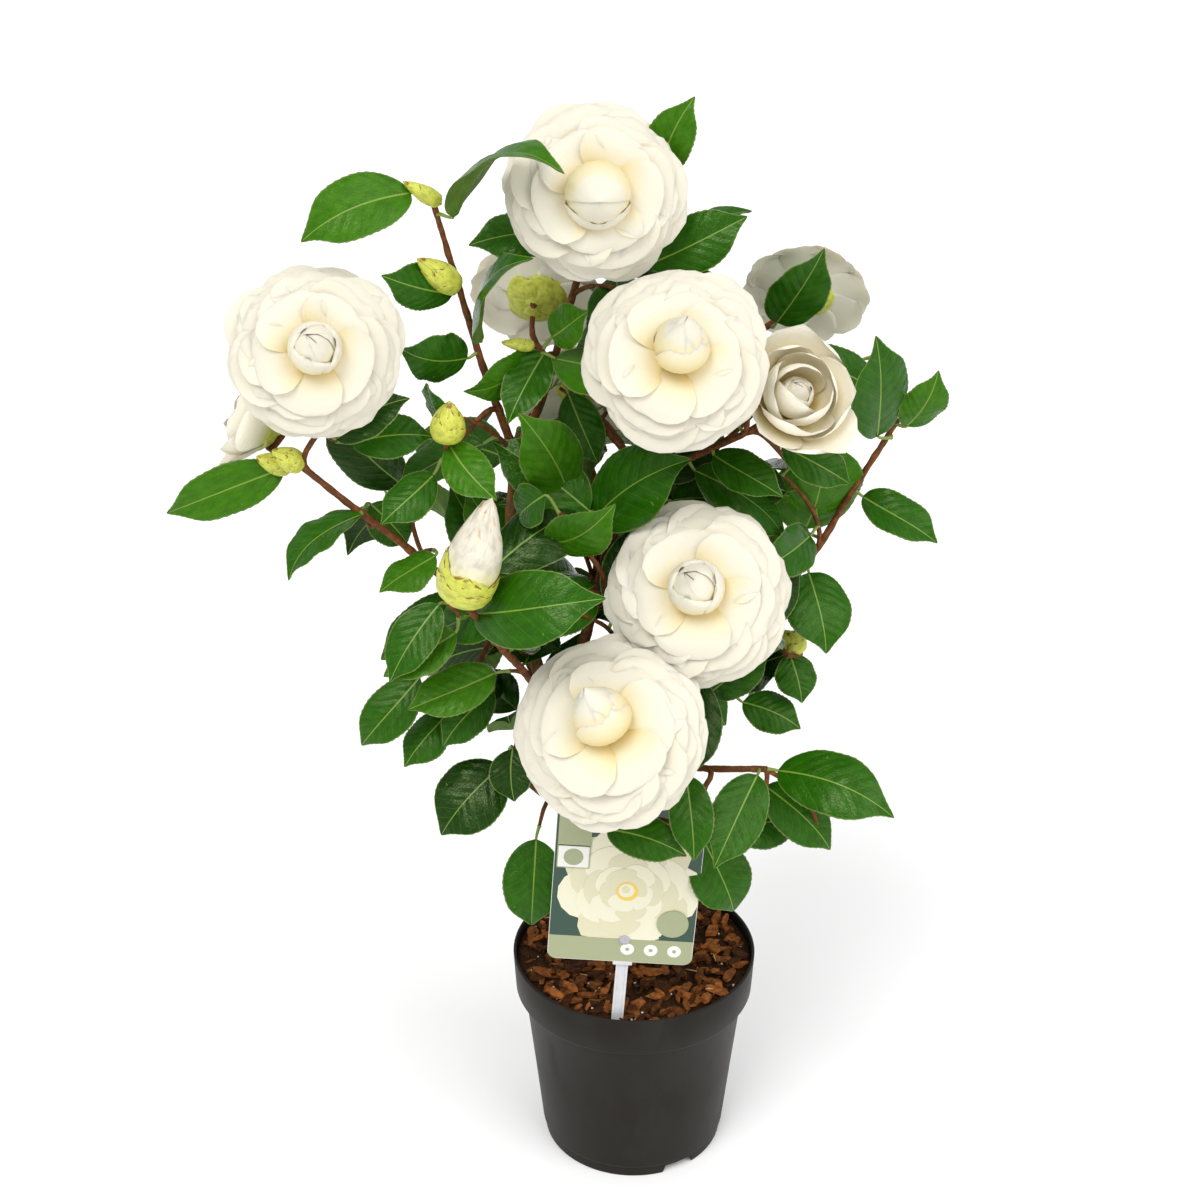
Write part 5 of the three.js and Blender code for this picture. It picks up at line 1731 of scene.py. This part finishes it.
# ---------------------------------------------------------------- stage
def make_stage(settings):
    deselect_all()
    bpy.ops.mesh.primitive_circle_add(
        vertices=96, radius=settings.floor_radius, fill_type="NGON", location=(0, 0, 0))
    floor = bpy.context.active_object
    floor.name = "studio_floor"
    material, _tree, _shader = finish_of("studio_floor", settings.floor, 0.9)
    floor.data.materials.append(material)

    world = bpy.data.worlds.new("studio")
    world.use_nodes = True
    background = world.node_tree.nodes["Background"]
    background.inputs["Color"].default_value = (1.0, 1.0, 1.0, 1)
    background.inputs["Strength"].default_value = settings.sky
    bpy.context.scene.world = world

    lights = (("key", (-38, 0, -28), settings.key, 30), ("fill", (-50, 0, 48), 0.8 * settings.key, 45))
    for name, turn, strength, spread in lights:
        light = bpy.data.lights.new(name, "SUN")
        light.energy = strength
        light.angle = math.radians(spread)
        lamp = bpy.data.objects.new(name, light)
        lamp.rotation_euler = tuple(math.radians(a) for a in (-turn[0], turn[1], turn[2]))
        bpy.context.scene.collection.objects.link(lamp)

    camera = bpy.data.cameras.new("camera")
    camera.lens = settings.lens
    camera.sensor_width = 36
    camera.clip_start, camera.clip_end = 0.01, 100
    holder = bpy.data.objects.new("camera", camera)
    holder.location = settings.eye
    holder.rotation_euler = (math.pi / 2 - settings.tilt, 0, 0)
    bpy.context.scene.collection.objects.link(holder)
    bpy.context.scene.camera = holder
    bpy.context.scene.view_settings.view_transform = "Standard"


# ---------------------------------------------------------------- operators and panel
class CAMELLIA_OT_pot(bpy.types.Operator):
    """Turn the pot from its half section and cut the notches in its foot"""

    bl_idname = "camellia.pot"
    bl_label = "Make Pot"

    def execute(self, context):
        make_pot(context.scene.camellia_pot)
        return {"FINISHED"}


class CAMELLIA_OT_soil(bpy.types.Operator):
    """Fill the pot with peat, bark mulch and loose grains"""

    bl_idname = "camellia.soil"
    bl_label = "Make Soil and Mulch"

    def execute(self, context):
        settings = context.scene.camellia_soil
        make_soil(settings)
        make_mulch(settings)
        make_grains(settings)
        return {"FINISHED"}


class CAMELLIA_OT_label(bpy.types.Operator):
    """Make the printed card, its stake and its rivet"""

    bl_idname = "camellia.label"
    bl_label = "Make Label"

    def execute(self, context):
        settings = context.scene.camellia_label
        make_label_card(settings)
        make_label_stick(settings)
        make_label_button()
        return {"FINISHED"}


class CAMELLIA_OT_wood(bpy.types.Operator):
    """Grow the limbs with their bark, the twigs and the leaf stalks"""

    bl_idname = "camellia.wood"
    bl_label = "Grow Wood"

    def execute(self, context):
        scene = context.scene
        growth = Growth(scene.camellia_leaves, scene.camellia_stage.eye)
        make_limbs(scene.camellia_wood, growth)
        make_twigs(scene.camellia_wood, growth)
        make_stalks(scene.camellia_wood, growth)
        return {"FINISHED"}


class CAMELLIA_OT_leaves(bpy.types.Operator):
    """Grow the leaves on their stalks"""

    bl_idname = "camellia.leaves"
    bl_label = "Grow Leaves"

    def execute(self, context):
        scene = context.scene
        make_leaves(scene.camellia_leaves, Growth(scene.camellia_leaves, scene.camellia_stage.eye))
        return {"FINISHED"}


class CAMELLIA_OT_blooms(bpy.types.Operator):
    """Make the blooms, their sepals and the buds"""

    bl_idname = "camellia.blooms"
    bl_label = "Make Blooms and Buds"

    def execute(self, context):
        make_blooms(context.scene.camellia_blooms)
        return {"FINISHED"}


class CAMELLIA_OT_stage(bpy.types.Operator):
    """Lay the floor, hang the lights and set up the camera"""

    bl_idname = "camellia.stage"
    bl_label = "Set Stage"

    def execute(self, context):
        make_stage(context.scene.camellia_stage)
        return {"FINISHED"}


STEPS = (
    (CAMELLIA_OT_stage, "camellia_stage", CamelliaStageSettings),
    (CAMELLIA_OT_pot, "camellia_pot", CamelliaPotSettings),
    (CAMELLIA_OT_soil, "camellia_soil", CamelliaSoilSettings),
    (CAMELLIA_OT_label, "camellia_label", CamelliaLabelSettings),
    (CAMELLIA_OT_wood, "camellia_wood", CamelliaWoodSettings),
    (CAMELLIA_OT_leaves, "camellia_leaves", CamelliaLeafSettings),
    (CAMELLIA_OT_blooms, "camellia_blooms", CamelliaBloomSettings),
)


class CAMELLIA_PT_steps(bpy.types.Panel):
    """The steps that make the camellia, each with its settings"""

    bl_idname = "CAMELLIA_PT_steps"
    bl_label = "Camellia"
    bl_space_type = "VIEW_3D"
    bl_region_type = "UI"
    bl_category = "Camellia"

    def draw(self, context):
        for step, field, group in STEPS:
            box = self.layout.box()
            box.operator(step.bl_idname)
            for name in group.__annotations__:
                box.prop(getattr(context.scene, field), name)


def register():
    for step, field, group in STEPS:
        bpy.utils.register_class(group)
        bpy.utils.register_class(step)
        setattr(bpy.types.Scene, field, PointerProperty(type=group))
    bpy.utils.register_class(CAMELLIA_PT_steps)


def unregister():
    bpy.utils.unregister_class(CAMELLIA_PT_steps)
    for step, field, group in reversed(STEPS):
        delattr(bpy.types.Scene, field)
        bpy.utils.unregister_class(step)
        bpy.utils.unregister_class(group)


def main():
    register()
    bpy.ops.camellia.stage()
    bpy.ops.camellia.pot()
    bpy.ops.camellia.soil()
    bpy.ops.camellia.label()
    bpy.ops.camellia.wood()
    bpy.ops.camellia.leaves()
    bpy.ops.camellia.blooms()


if __name__ == "__main__":
    main()
